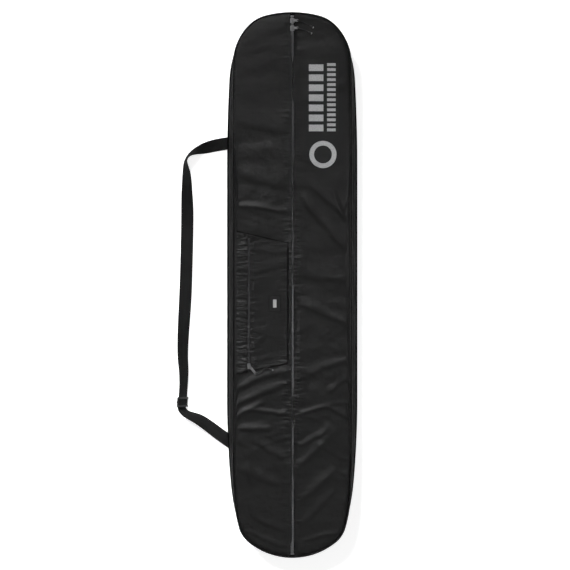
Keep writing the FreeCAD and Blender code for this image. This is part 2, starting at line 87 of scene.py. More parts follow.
def end_arcs(form, half_width):
    """Arcs from a tip to the straight side: centre across, centre depth, radius, two angles."""
    ratios, degrees, shoulder = form
    found = []
    across, depth, angle = 0.0, 0.0, 0.0
    stops = [math.radians(d) for d in degrees] + [math.pi / 2]
    for k, stop in enumerate(stops):
        if k < len(ratios):
            radius = ratios[k] * BACK_HALF
        else:
            share = shoulder if k == len(ratios) else 1.0
            radius = share * (half_width - across) / (math.sin(stop) - math.sin(angle))
        centre = across - radius * math.sin(angle), depth + radius * math.cos(angle)
        found.append((*centre, radius, angle, stop))
        across = centre[0] + radius * math.sin(stop)
        depth = centre[1] - radius * math.cos(stop)
        angle = stop
    return found


def side_line(half_width, inset):
    """Right side of the outline, nose tip to tail tip, as closely spaced points."""
    ends = []
    for sign, form in ((1, NOSE_FORM), (-1, TAIL_FORM)):
        line = []
        for across, depth, radius, start, stop in end_arcs(form, half_width):
            for angle in np.linspace(start, stop, 30):
                x = across + (radius - inset) * math.sin(angle)
                line.append((x, sign * (TIP - depth + (radius - inset) * math.cos(angle))))
        ends.append(line)
    return np.array(ends[0] + ends[1][::-1])


def outline(half_width, inset, count):
    """Evenly spaced points right round the bag, clockwise from the nose tip."""
    right = side_line(half_width, inset)
    whole = np.vstack([right, right[::-1] * (-1, 1)])
    run = np.concatenate([[0], np.cumsum(np.hypot(*np.diff(whole, axis=0).T))])
    places = np.linspace(0, run[-1], count, endpoint=False)
    return np.column_stack([np.interp(places, run, whole[:, k]) for k in (0, 1)])


print("front seam", len(side_line(FRONT_HALF, 0)), "points on one side")

# %% [markdown]
# ## The camera
# A bag laid out on a studio floor is best shown from straight above, through a long lens from
# well away, so that its sides hardly spread. The field of view is worked out from the distance
# and the width of floor to show.

# %% Place the camera
VIEW_WIDTH = 1.7295
CAMERA_HEIGHT = 5.2
MEASURED_AT = 0.05
SENSOR_WIDTH = 36.0
VIEW_CENTRE = (-0.022, 0.0)
camera = bpy.data.objects.new("camera", bpy.data.cameras.new("camera"))
camera.location = (*VIEW_CENTRE, CAMERA_HEIGHT)
camera.data.sensor_width = SENSOR_WIDTH
camera.data.lens = SENSOR_WIDTH * (CAMERA_HEIGHT - MEASURED_AT) / VIEW_WIDTH
camera.data.clip_end = 50.0
scene.collection.objects.link(camera)
scene.camera = camera
print(f"lens {camera.data.lens:.0f} mm")

# %% [markdown]
# ## Small helpers
# Most pieces start as a bmesh, become an object at the world's origin, and ride on one of the
# construction's bodies. Cloth patterns follow a UV map laid out in metres, so a weave keeps its
# scale and stays on the cloth when a flap swings open.

# %% Make, read and write a piece
def new_piece(name, bm, material, body=None):
    """Object at the origin from a bmesh, smooth shaded, with its finish and its body."""
    mesh = bpy.data.meshes.new(name)
    bm.to_mesh(mesh)
    bm.free()
    return finish_piece(bpy.data.objects.new(name, mesh), material, body)


def finish_piece(piece, material, body=None):
    """Give an object its finish and body, and put it in the scene."""
    piece.data.materials.clear()
    piece.data.materials.append(material)
    piece.data.shade_smooth()
    if piece.name not in scene.collection.objects:
        scene.collection.objects.link(piece)
    if body:
        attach(piece, body)
    return piece


def points_of(piece):
    flat = np.empty(len(piece.data.vertices) * 3)
    piece.data.vertices.foreach_get("co", flat)
    return flat.reshape(-1, 3)


def move_points(piece, points):
    piece.data.vertices.foreach_set("co", np.asarray(points, float).ravel())
    piece.data.update()


def mark(piece, name, values):
    """Keep one number for each vertex, for a material to read."""
    layer = piece.data.attributes.new(name, "FLOAT", "POINT")
    layer.data.foreach_set("value", np.asarray(values, np.float32))


def lay_uv(piece, across_along):
    """UV map in metres, one pair for each vertex."""
    layer = piece.data.uv_layers.get("cloth") or piece.data.uv_layers.new(name="cloth")
    corner = np.empty(len(piece.data.loops), int)
    piece.data.loops.foreach_get("vertex_index", corner)
    layer.data.foreach_set("uv", np.asarray(across_along, float)[corner].ravel())


def thicken(piece, thickness, offset=-1.0, levels=1):
    """Cloth gets its thickness, then one smoothing, as live modifiers."""
    solid = piece.modifiers.new("cloth thickness", "SOLIDIFY")
    solid.thickness = thickness
    solid.offset = offset
    soften(piece, levels)


def soften(piece, levels=1):
    smooth = piece.modifiers.new("soften", "SUBSURF")
    smooth.levels = levels
    smooth.render_levels = levels


def applied(piece):
    """Work the piece's modifiers into its mesh."""
    scene.view_layers[0].update()
    graph = bpy.context.evaluated_depsgraph_get()
    mesh = bpy.data.meshes.new_from_object(piece.evaluated_get(graph))
    piece.modifiers.clear()
    old = piece.data
    piece.data = mesh
    bpy.data.meshes.remove(old)


def ease(t):
    """Smooth step from 0 to 1."""
    t = np.clip(t, 0, 1)
    return t * t * (3 - 2 * t)


def distance_to(line, points):
    """Distance in plan from each point to the nearest point of a line."""
    points = np.asarray(points)[:, :2]
    best = np.full(len(points), np.inf)
    for start in range(0, len(line), 40):
        part = line[start:start + 40]
        gap = np.hypot(points[:, None, 0] - part[None, :, 0], points[:, None, 1] - part[None, :, 1])
        best = np.minimum(best, gap.min(axis=1))
    return best


def ripple(points, scale, seed):
    """Smooth random value between -1 and 1 at each point."""
    shift = Vector((seed * 7.3, seed * 3.1, seed * 5.7))
    return np.array([noise.noise(Vector(p) * scale + shift) for p in points])


print("helpers ready")

# %% [markdown]
# ## Finishes
# Each finish is one material with a Principled shader. What several share is a node group: a
# plain weave that puts out the height of its threads, and a soft change of tone that shows
# handling and dust. Groups only put out values that change over the surface, and the fixed
# numbers, such as sheen, sit on the shader itself.

# %% Node helpers
def add(tree, kind, inputs=(), **settings):
    """New node with its settings, its inputs set or linked."""
    made = tree.nodes.new(kind)
    for name, value in settings.items():
        setattr(made, name, value)
    for key, value in dict(inputs).items():
        if isinstance(value, bpy.types.NodeSocket):
            tree.links.new(value, made.inputs[key])
        else:
            made.inputs[key].default_value = value
    return made


def math_node(tree, operation, first, second=0.0):
    return add(tree, "ShaderNodeMath", {0: first, 1: second}, operation=operation).outputs[0]


def new_group(name, inputs, outputs):
    group = bpy.data.node_groups.new(name, "ShaderNodeTree")
    for label, kind, value in inputs:
        socket = group.interface.new_socket(label, in_out="INPUT", socket_type=kind)
        if value is not None:
            socket.default_value = value
    for label, kind in outputs:
        group.interface.new_socket(label, in_out="OUTPUT", socket_type=kind)
    return group, group.nodes.new("NodeGroupInput").outputs, group.nodes.new("NodeGroupOutput")


def plain_weave_group():
    """Threads that pass over and under each other; Thread is their spacing in metres."""
    inputs = [("Vector", "NodeSocketVector", None), ("Thread", "NodeSocketFloat", 0.001)]
    group, given, out = new_group("plain weave", inputs, [("Height", "NodeSocketFloat")])
    turns = math_node(group, "DIVIDE", math.pi, given["Thread"])
    scaled = add(group, "ShaderNodeVectorMath", {0: given["Vector"], "Scale": turns}, operation="SCALE")
    split = add(group, "ShaderNodeSeparateXYZ", {0: scaled.outputs[0]})
    warp = math_node(group, "SINE", split.outputs[0])
    weft = math_node(group, "SINE", split.outputs[1])
    over = math_node(group, "GREATER_THAN", math_node(group, "MULTIPLY", warp, weft), 0.0)
    threads = add(group, "ShaderNodeMix", {0: over, 2: math_node(group, "ABSOLUTE", warp),
                                           3: math_node(group, "ABSOLUTE", weft)})
    group.links.new(threads.outputs[0], out.inputs["Height"])
    return group


def handled_tone_group():
    """Two tones of one colour in soft patches, with a fine fleck, and the patches as a mask."""
    inputs = [
        ("Vector", "NodeSocketVector", None), ("Scale", "NodeSocketFloat", 9.0),
        ("Deep", "NodeSocketColor", None), ("Pale", "NodeSocketColor", None),
    ]
    outputs = [("Color", "NodeSocketColor"), ("Mask", "NodeSocketFloat")]
    group, given, out = new_group("handled tone", inputs, outputs)
    cloud = add(group, "ShaderNodeTexNoise",
                {"Vector": given["Vector"], "Scale": given["Scale"], "Detail": 5.0})
    fleck = add(group, "ShaderNodeTexNoise", {"Vector": given["Vector"], "Scale": 900.0, "Detail": 2.0})
    level = add(group, "ShaderNodeMapRange", {0: cloud.outputs[0], 1: 0.35, 2: 0.68})
    grain = math_node(group, "MULTIPLY", math_node(group, "SUBTRACT", fleck.outputs[0], 0.5), 0.5)
    mask = add(group, "ShaderNodeClamp", {0: math_node(group, "ADD", level.outputs[0], grain)})
    tone = add(group, "ShaderNodeMix", {0: mask.outputs[0], 6: given["Deep"], 7: given["Pale"]},
               data_type="RGBA")
    group.links.new(tone.outputs[2], out.inputs["Color"])
    group.links.new(mask.outputs[0], out.inputs["Mask"])
    return group


PLAIN_WEAVE = plain_weave_group()
HANDLED_TONE = handled_tone_group()
print("groups", [g.name for g in bpy.data.node_groups])

# %% [markdown]
# Cloth, tape and webbing differ only in their threads, tone and sheen, so one function makes
# them. The weave follows the UV map. Three bumps are chained: the threads, a slow unevenness that
# stops a large dark panel from looking like sheet plastic, and the fine gathers beside a seam,
# which show only where the piece's own attribute says that a seam is near.

# %% Cloth finishes
def new_material(name, roughness, **sockets):
    material = bpy.data.materials.new(name)
    material.use_nodes = True
    tree = material.node_tree
    shader = tree.nodes["Principled BSDF"]
    shader.inputs["Roughness"].default_value = roughness
    for label, value in sockets.items():
        shader.inputs[label.replace("_", " ")].default_value = value
    return material, tree, shader


def use_group(tree, group, inputs):
    return add(tree, "ShaderNodeGroup", inputs, node_tree=group).outputs


def grey(level):
    return level, level, level, 1


def cloth_material(name, deep, pale, thread, depth, sheen=0.04, roughness=0.8, gloss=0.2,
                   stretch=(1, 1, 1), gathers=(22, 95, 1)):
    """Woven finish on the UV map: deep and pale are its two greys, thread and depth in metres."""
    material, tree, shader = new_material(name, roughness, Sheen_Weight=sheen, Specular_IOR_Level=gloss)
    shader.inputs["Sheen Roughness"].default_value = 0.5
    uv = add(tree, "ShaderNodeUVMap", uv_map="cloth").outputs[0]
    laid = add(tree, "ShaderNodeMapping", {0: uv, 3: stretch}).outputs[0]
    tone = use_group(tree, HANDLED_TONE, {"Vector": uv, "Deep": grey(deep), "Pale": grey(pale)})
    weave = use_group(tree, PLAIN_WEAVE, {"Vector": laid, "Thread": thread})
    slow = add(tree, "ShaderNodeTexNoise", {"Vector": uv, "Scale": 55.0, "Detail": 4.0})
    uneven = add(tree, "ShaderNodeBump",
                 {"Height": slow.outputs[0], "Distance": 0.0030, "Strength": 0.55})
    drawn = add(tree, "ShaderNodeMapping", {0: uv, 3: gathers}).outputs[0]
    wave = add(tree, "ShaderNodeTexNoise", {"Vector": drawn, "Scale": 1.0, "Detail": 2.5})
    share = add(tree, "ShaderNodeAttribute", attribute_name="gather").outputs["Fac"]
    gather = add(tree, "ShaderNodeBump", {"Height": math_node(tree, "MULTIPLY", wave.outputs[0], share),
                                          "Distance": 0.0090, "Normal": uneven.outputs[0]})
    threads = add(tree, "ShaderNodeBump", {"Height": weave["Height"], "Distance": depth,
                                           "Normal": gather.outputs[0], "Strength": 0.8})
    rough = add(tree, "ShaderNodeMapRange", {0: tone["Mask"], 3: roughness + 0.08, 4: roughness - 0.08})
    tree.links.new(tone["Color"], shader.inputs["Base Color"])
    tree.links.new(rough.outputs[0], shader.inputs["Roughness"])
    tree.links.new(threads.outputs[0], shader.inputs["Normal"])
    return material


OUTER_CLOTH = cloth_material("outer cloth", 0.0046, 0.0062, 0.0009, 0.00015, 0.02, 0.48, 0.27)
WALL_CLOTH = cloth_material("wall cloth", 0.0080, 0.0110, 0.0011, 0.0002, 0.0, 0.85, 0.07,
                            gathers=(95, 22, 1))
BINDING_TAPE = cloth_material("binding tape", 0.0012, 0.0022, 0.0014, 0.0003, 0.0, 0.85, 0.03,
                              (1, 0.6, 1))
PIPING_CLOTH = cloth_material("piping cloth", 0.004, 0.006, 0.0012, 0.0002, 0.0, 0.45, 0.2, (1, 0.6, 1))
LINING_CLOTH = cloth_material("lining cloth", 0.075, 0.11, 0.0006, 0.00012, 0.1, 0.6)
ZIP_TAPE = cloth_material("zip tape", 0.0018, 0.003, 0.0008, 0.0002, 0.0, 0.85, 0.04)
WEBBING = cloth_material("ribbed webbing", 0.009, 0.013, 0.0021, 0.0005, 0.03, 0.75, 0.15, (1, 0.7, 1))
THREAD = cloth_material("sewing thread", 0.008, 0.014, 0.0004, 0.0001, 0.0, 0.6)
print("cloth finishes", len(bpy.data.materials))

# %% [markdown]
# The right front panel carries a printed design in pale grey. A print is a film of ink on the
# cloth, a little smoother than it, that cracks where the cloth creases. Here only its colour
# changes: the weave's bump runs on through it, and fine noise breaks it into small cracks all
# over. This one is two plain ladders of equal bars and a ring, cut out of the UV map with a few
# comparisons, so it has no picture and no lettering.

# %% Printed cloth
BAR_COLUMNS = (
    # left edge, right edge, lower end, upper end, number of bars, share of each that is ink
    (0.050, 0.094, 0.464, 0.676, 7, 0.66), (0.105, 0.131, 0.464, 0.676, 14, 0.58),
)
RING_CENTRE, RING_OUTER, RING_INNER = (0.0925, 0.394), 0.041, 0.027


def between(tree, value, low, high):
    above = math_node(tree, "GREATER_THAN", value, low)
    below = math_node(tree, "LESS_THAN", value, high)
    return math_node(tree, "MULTIPLY", above, below)


def printed_cloth():
    material = OUTER_CLOTH.copy()
    material.name = "printed outer cloth"
    tree = material.node_tree
    shader = tree.nodes["Principled BSDF"]
    uv = next(n for n in tree.nodes if n.type == "UVMAP").outputs[0]
    split = add(tree, "ShaderNodeSeparateXYZ", {0: uv}).outputs
    away = add(tree, "ShaderNodeVectorMath", {0: uv, 1: (*RING_CENTRE, 0)},
               operation="DISTANCE").outputs[1]
    inked = between(tree, away, RING_INNER, RING_OUTER)
    for left, right, low, high, count, share in BAR_COLUMNS:
        along = math_node(tree, "DIVIDE", math_node(tree, "SUBTRACT", split[1], low),
                          (high - low) / count)
        bar = math_node(tree, "LESS_THAN", math_node(tree, "FRACT", along), share)
        field = math_node(tree, "MULTIPLY", between(tree, split[0], left, right),
                          between(tree, split[1], low, high))
        inked = math_node(tree, "MAXIMUM", inked, math_node(tree, "MULTIPLY", bar, field))
    crack = add(tree, "ShaderNodeTexNoise", {"Vector": uv, "Scale": 420.0, "Detail": 4.0})
    whole = add(tree, "ShaderNodeMapRange", {0: crack.outputs[0], 1: 0.36, 2: 0.5, 3: 0.55, 4: 1.0})
    ink = math_node(tree, "MULTIPLY", inked, whole.outputs[0])
    cloth_colour = shader.inputs["Base Color"].links[0].from_socket
    colour = add(tree, "ShaderNodeMix", {0: ink, 6: cloth_colour, 7: (0.40, 0.40, 0.405, 1)},
                 data_type="RGBA")
    tree.links.new(colour.outputs[2], shader.inputs["Base Color"])
    return material


PRINTED_CLOTH = printed_cloth()
print("print columns", len(BAR_COLUMNS))

# %% [markdown]
# Metal, plastic and rubber read Object coordinates, because those pieces are stiff. Nickel
# plate gets a fine scratch and a duller bloom; nylon and rubber get a moulded grain.

# %% Hard finishes
def hard_material(name, colour, roughness, grain_scale, grain_depth, spread=0.1, **sockets):
    material, tree, shader = new_material(name, roughness, **sockets)
    place = add(tree, "ShaderNodeTexCoord").outputs["Object"]
    pale = tuple(min(1.0, c * 1.35 + 0.004) for c in colour)
    tone = use_group(tree, HANDLED_TONE, {"Vector": place, "Scale": 160.0,
                                          "Deep": (*colour, 1), "Pale": (*pale, 1)})
    grain = add(tree, "ShaderNodeTexNoise", {"Vector": place, "Scale": grain_scale, "Detail": 3.0})
    bump = add(tree, "ShaderNodeBump",
               {"Height": grain.outputs[0], "Distance": grain_depth, "Strength": 0.6})
    rough = add(tree, "ShaderNodeMapRange",
                {0: tone["Mask"], 3: roughness - spread, 4: roughness + spread})
    tree.links.new(tone["Color"], shader.inputs["Base Color"])
    tree.links.new(rough.outputs[0], shader.inputs["Roughness"])
    tree.links.new(bump.outputs[0], shader.inputs["Normal"])
    return material


NICKEL = hard_material("worn nickel", (0.31, 0.31, 0.315), 0.40, 900.0, 0.00006, Metallic=1.0)
COIL_NYLON = hard_material("coil nylon", (0.19, 0.19, 0.195), 0.42, 1500.0, 0.00004)
POCKET_COIL = hard_material("pocket coil nylon", (0.07, 0.07, 0.073), 0.5, 1500.0, 0.00004)
MOULDED_NYLON = hard_material("moulded nylon", (0.014, 0.014, 0.014), 0.45, 1800.0, 0.00008)
PATCH_RUBBER = hard_material("patch rubber", (0.0025, 0.0025, 0.0025), 0.6, 1200.0, 0.0001,
                             Specular_IOR_Level=0.2)
BRAID = hard_material("braided cord", (0.011, 0.011, 0.011), 0.75, 1400.0, 0.0003)
print("hard finishes", NICKEL.name, COIL_NYLON.name, MOULDED_NYLON.name)

# %% [markdown]
# ## The front panels
# Each half of the front is one piece of cloth over foam, sewn in along the side and along the
# zip. It could be a flat sheet with a bump, but then the light would never catch the slack in
# it. So the cloth is cut as a grid to the bag's outline, made a little too large, and a cloth
# simulation lets it settle on the foam: it has nowhere to go, and buckles into real puckers.

# %% Cut a half panel to the outline
ZIP_EDGES = {
    -1: (
        (-0.82, 7.2), (-0.786, 7.2), (-0.772, 2.0), (-0.72, 2.2), (-0.61, 2.2), (-0.57, 1.4),
        (-0.51, 1.4), (-0.49, 2.0), (-0.44, 2.0), (-0.41, 0.9), (-0.34, 0.9), (-0.31, 2.0),
        (-0.22, 2.6), (-0.11, 2.2), (-0.02, 1.9), (0.01, 1.2), (0.05, 1.2), (0.09, 1.7),
        (0.15, 1.7), (0.18, 1.3), (0.36, 1.3), (0.40, 1.9), (0.54, 1.9), (0.57, 1.2), (0.67, 1.0),
        (0.70, 3.6), (0.755, 4.2), (0.765, 7.2), (0.82, 7.2),
    ),
    1: (
        (-0.82, 7.6), (-0.786, 7.6), (-0.772, 6.4), (-0.72, 6.2), (-0.70, 7.2), (-0.61, 7.2),
        (-0.58, 3.0), (-0.51, 3.6), (-0.49, 6.6), (-0.44, 6.6), (-0.41, 1.5), (-0.34, 1.5),
        (-0.31, 5.2), (-0.22, 6.4), (-0.11, 7.0), (-0.02, 7.4), (0.01, 2.2), (0.05, 2.2),
        (0.08, 5.0), (0.15, 5.0), (0.18, 2.3), (0.36, 2.4), (0.40, 5.6), (0.54, 5.6), (0.57, 1.9),
        (0.67, 1.6), (0.70, 7.0), (0.755, 7.4), (0.82, 7.6),
    ),
}
SIDES = {"left": -1, "right": 1}


def zip_edge(y, side):
    """How far the folded cloth edge of one side stands from the middle of the zip, in metres."""
    places, gaps = zip(*ZIP_EDGES[side])
    return np.interp(y, places, gaps) * MM


def half_panel(side, inner, half_width, inset, pitch):
    """Grid for one half of the front, trimmed to the outline, its rim moved onto the line."""
    line = side_line(half_width, inset) * (side, 1)
    columns, rows = round((half_width - inner) / pitch), round(2 * TIP / pitch)
    bm = bmesh.new()
    bmesh.ops.create_grid(bm, x_segments=columns, y_segments=rows, size=0.5)
    bmesh.ops.scale(bm, vec=(half_width - inner, 2 * TIP, 1), verts=bm.verts)
    bmesh.ops.translate(bm, vec=(side * (inner + half_width) / 2, 0, 0), verts=bm.verts)
    reach = np.interp([-v.co.y for v in bm.verts], -line[:, 1], abs(line[:, 0]), left=0, right=0)
    outside = [v for v, r in zip(bm.verts, reach) if abs(v.co.x) > r + 0.35 * pitch]
    bmesh.ops.delete(bm, geom=outside, context="VERTS")
    rim = [v for v in bm.verts if v.is_boundary and abs(v.co.x) > inner + 0.5 * pitch]
    for vert in rim:
        gap = np.hypot(*(line - (vert.co.x, vert.co.y)).T)
        vert.co.x, vert.co.y = line[gap.argmin()]
    held = set(rim)
    near = {e.other_vert(v) for v in rim for e in v.link_edges} - held
    near = [v for v in near if abs(v.co.x) > inner + 0.5 * pitch]
    for _ in range(3):
        bmesh.ops.smooth_vert(bm, verts=near, factor=0.5, use_axis_x=True, use_axis_y=True)
    return bm


print("zip edge at the nose", round(float(zip_edge(0.8, 1)), 4))

# %% [markdown]
# The simulation pins the seams and drops the slack cloth on a bed that has the foam's shape. A
# cap on how far any point moves keeps the result inside the bag's real size.

# %% Let the cloth settle
def seam_crown(gap, height, reach):
    """Rise of a padded surface with its distance from the nearest seam."""
    return height * (1 - np.exp(-gap / reach))


def settle(piece, held, slack, cap, frames=22):
    """Cloth simulation on a bed of the piece's own shape; held points stay where they are."""
    bed_depth, clearance = 0.0022, 0.001
    start = points_of(piece)
    bed = bpy.data.objects.new("bed", piece.data.copy())
    scene.collection.objects.link(bed)
    move_points(bed, start - (0, 0, bed_depth))
    bed.modifiers.new("bed", "COLLISION")
    bed.collision.thickness_outer = clearance
    pins = piece.vertex_groups.new(name="held")
    pins.add([int(i) for i in np.flatnonzero(held)], 1.0, "REPLACE")
    cloth = piece.modifiers.new("cloth", "CLOTH")
    cloth.settings.quality = 5
    cloth.settings.mass = 0.35
    cloth.settings.tension_stiffness = cloth.settings.compression_stiffness = 18
    cloth.settings.shear_stiffness = 8
    cloth.settings.bending_stiffness = 0.15
    cloth.settings.shrink_min = -slack
    cloth.settings.vertex_group_mass = "held"
    cloth.collision_settings.distance_min = clearance
    cloth.collision_settings.use_self_collision = False
    for step in range(1, frames + 1):
        scene.frame_set(step)
    applied(piece)
    piece.vertex_groups.clear()
    bpy.data.objects.remove(bed)
    scene.frame_set(1)
    shift = points_of(piece) - start
    far = np.linalg.norm(shift, axis=1, keepdims=True)
    move_points(piece, start + shift * np.minimum(1, cap / np.maximum(far, 1e-9)))
    print(f"{piece.name} settled, furthest move {far.max() * 1000:.1f} mm")


# %% [markdown]
# Handling leaves larger folds that no simulation of an empty bag would find: bulges where it was
# carried, a hard crease where it was bent. They are pressed in afterwards as ridges along chosen
# lines, each steep on one side and slow on the other, with a shallow dip on both.

# %% Press larger folds into a panel
LEFT_FOLDS = (
    ((-168, 498), (-25, 470), 2.0, 26), ((-160, 432), (-60, 440), -1.4, 22),
    ((-165, 338), (-30, 300), 2.8, 27), ((-172, 238), (-20, 224), 3.4, 10),
    ((-172, -318), (-16, -256), 5.0, 13), ((-168, -362), (-30, -296), 4.4, 12),
    ((-165, -398), (-90, -360), 4.0, 9), ((-150, -384), (-14, -386), 4.4, 7),
    ((-160, -430), (-66, -440), 4.2, 10), ((-160, -560), (-40, -600), 2.4, 18),
    ((-120, -470), (-20, -520), 2.6, 14), ((-158, -740), (-20, -790), 2.2, 8),
    ((-120, -700), (-20, -742), 2.0, 12), ((-150, 640), (-30, 700), 0.8, 24),
    ((-140, -500), (-125, -600), 2.4, 10),
)
RIGHT_FOLDS = (
    ((35, 262), (165, 104), 3.8, 17), ((60, 300), (172, 196), 3.0, 12),
    ((120, 290), (174, 150), 2.8, 8), ((20, -384), (110, -374), 4.6, 7),
    ((100, -372), (172, -400), 3.4, 9), ((23, -484), (104, -446), 4.0, 10),
    ((163, -560), (157, -700), 2.6, 8), ((23, -780), (144, -748), 2.2, 8),
    ((30, -60), (165, -120), 2.6, 16), ((40, 30), (170, 10), 2.2, 18),
    ((30, -640), (120, -560), 2.4, 15), ((40, 560), (168, 600), 1.8, 20),
    ((60, -268), (172, -222), 3.0, 15), ((120, -320), (172, -270), 2.6, 10),
    ((24, -540), (110, -470), 2.2, 13), ((30, -720), (120, -620), 1.8, 14),
)


def fold_heights(points, folds):
    """Height that a set of folds adds at each point; sizes of a fold are in millimetres."""
    total = np.zeros(len(points))
    drift = 11 * MM * np.column_stack([ripple(points, 11, 1), ripple(points, 11, 2)])
    drift += 4 * MM * np.column_stack([ripple(points, 30, 43), ripple(points, 30, 44)])
    plan = points[:, :2] + drift
    for start, end, height, width in folds:
        a, b = np.array(start) * MM, np.array(end) * MM
        run = b - a
        t = ((plan - a) @ run) / (run @ run)
        square = (plan - a) @ np.array((-run[1], run[0])) * np.sign(run[0]) / np.linalg.norm(run)
        steep = np.where(square < 0, 0.62, 1.35)
        away = np.linalg.norm(plan - a - np.clip(t, 0, 1)[:, None] * run, axis=1) / (width * MM * steep)
        fade = ease(2.5 * np.minimum(t + 0.2, 1.2 - t))
        total += 1.1 * height * MM * (1 - 0.8 * away ** 2) * np.exp(-away ** 2) * fade
    return total


CREASE_PLACES = (-0.82, -0.62, -0.48, -0.40, -0.28, -0.10, 0.15, 0.25, 0.34, 0.50, 0.82)
CREASE_HEIGHTS = {
    -1: (1.0, 1.2, 2.2, 3.0, 2.8, 0.8, 0.8, 1.6, 1.2, 0.5, 0.5),
    1: (1.0, 1.4, 2.2, 2.8, 1.8, 0.7, 0.8, 1.8, 1.6, 0.6, 0.5),
}


def creases(points, side, lean, seed):
    """Irregular creases that run mostly across the bag, in patches, leaning as it says."""
    bent = points[:, 1] + lean * points[:, 0] + 0.034 * ripple(points, 7, seed + 5)
    bent += 0.006 * ripple(points, 24, seed + 6)
    crest = ripple(np.column_stack([points[:, 0] * 8, bent * 22, 0 * bent]), 1, seed)
    patch = ease(0.45 + 1.3 * ripple(points, 6, seed + 2))
    height = np.interp(points[:, 1], CREASE_PLACES, CREASE_HEIGHTS[side]) * MM
    return height * patch * np.maximum(1 - 3.2 * abs(crest), 0) ** 1.5


def gathered(points):
    """How much the seams are gathered at each height of the bag."""
    return np.interp(points[:, 1], (-0.82, -0.62, -0.45, -0.30, 0.10, 0.30, 0.45, 0.82),
                     (0.5, 0.9, 1.3, 1.1, 1.0, 1.1, 0.5, 0.35))


def seam_share(points, gap):
    """How strongly a seam gathers the cloth: dies out with distance, and varies along the seam."""
    gap = np.maximum(gap, 0)
    patch = 0.35 + 0.65 * ease(0.5 + 1.3 * ripple(points, 5, 41))
    return gathered(points) * patch * np.exp(-(gap / 0.017) ** 1.5) * ease(gap / 0.002)


def seam_puckers(points, gap, height, seed):
    """Small gathers square to a seam, dying out within a couple of centimetres of it."""
    fine = ripple(points * (0.3, 1, 1), 70, seed) + 0.6 * ripple(points * (0.3, 1, 1), 140, seed + 1)
    patch = 0.35 + 0.65 * ease(0.5 + 1.2 * ripple(points, 5, seed + 2))
    return height * gathered(points) * patch * fine * np.exp(-gap / 0.016) * ease(gap / 0.003)


print("folds", len(LEFT_FOLDS), len(RIGHT_FOLDS))

# %% [markdown]
# ## Strips and tubes
# Piping, tape, webbing and the wall of the bag are all a grid of quads laid on rows of points.
# The grid gives the UV map in metres for free, so a weave runs along a strap and round a wall
# without stretching. Where the first and last rows meet, the weld closes the seam.

# %% A grid laid on rows of points
def laid_grid(rows):
    rows = np.asarray(rows, float)
    count, width = rows.shape[:2]
    bm = bmesh.new()
    bmesh.ops.create_grid(bm, x_segments=width - 1, y_segments=count - 1, size=1)
    steps = np.linalg.norm(np.diff(rows, axis=1), axis=2).max(axis=0)
    hops = np.linalg.norm(np.diff(rows, axis=0), axis=2).max(axis=1)
    along, across = np.concatenate([[0], np.cumsum(steps)]), np.concatenate([[0], np.cumsum(hops)])
    bm.verts.index_update()
    layer = bm.loops.layers.uv.new("cloth")
    for face in bm.faces:
        for corner in face.loops:
            row, column = divmod(corner.vert.index, width)
            corner[layer].uv = across[row], along[column]
    for vert, place in zip(bm.verts, rows.reshape(-1, 3)):
        vert.co = place
    bmesh.ops.remove_doubles(bm, verts=bm.verts, dist=1e-5)
    return bm


def unit(vectors):
    return vectors / np.maximum(np.linalg.norm(vectors, axis=-1, keepdims=True), 1e-12)


def runs_of(line, closed=False):
    """Direction of a line at each of its points."""
    if closed:
        return unit(np.roll(line, -1, axis=0) - np.roll(line, 1, axis=0))
    return unit(np.gradient(line, axis=0))


def tube(line, radii, sides=10, closed=False, flatten=1.0):
    """Round section swept along a line; a radius of nothing closes an end."""
    line = np.asarray(line, float)
    run = runs_of(line, closed)
    level = unit(np.cross(run, (0, 0, 1)))
    up = np.cross(level, run) * flatten
    turn = np.linspace(0, 2 * math.pi, sides + 1)[None, :, None]
    radii = np.broadcast_to(radii, len(line))[:, None, None]
    rings = line[:, None] + radii * (np.cos(turn) * level[:, None] + np.sin(turn) * up[:, None])
    if closed:
        rings = np.concatenate([rings, rings[:1]])
    bm = laid_grid(rings)
    bmesh.ops.recalc_face_normals(bm, faces=bm.faces)
    return bm


def smooth_route(controls, step):
    """Evenly spaced points on the NURBS line of control points; further columns are carried along."""
    controls = np.asarray(controls, float)
    found = []
    for first in range(0, controls.shape[1], 3):
        block = controls[:, first:first + 3]
        corners = np.zeros((len(controls), 4))
        corners[:, :block.shape[1]], corners[:, 3] = block, 1
        curve = bpy.data.curves.new("route", "CURVE")
        curve.dimensions = "3D"
        spline = curve.splines.new("NURBS")
        spline.points.add(len(controls) - 1)
        spline.points.foreach_set("co", corners.ravel())
        spline.order_u, spline.use_endpoint_u, spline.resolution_u = 3, True, 16
        holder = bpy.data.objects.new("route", curve)
        mesh = bpy.data.meshes.new_from_object(holder)
        found.append(np.array([v.co for v in mesh.vertices])[:, :block.shape[1]])
        bpy.data.objects.remove(holder)
        bpy.data.meshes.remove(mesh)
    line = np.hstack(found)
    gone = np.concatenate([[0], np.cumsum(np.linalg.norm(np.diff(line[:, :3], axis=0), axis=1))])
    places = np.linspace(0, gone[-1], max(4, round(gone[-1] / step) + 1))
    return np.column_stack([np.interp(places, gone, column) for column in line.T]), gone[-1]


print("strip tools ready")

# %% [markdown]
# ## The shoulder strap
# A webbing strap leaves the seam near the shoulders, lies on the floor beside the bag and comes
# back lower down, turning on edge where it bends sideways, because flat webbing can't bend in
# its own plane. Each station of its route has a place, a roll about its run, and a lift off the
# floor. The roll is smoothed by the same kind of spline as the route.

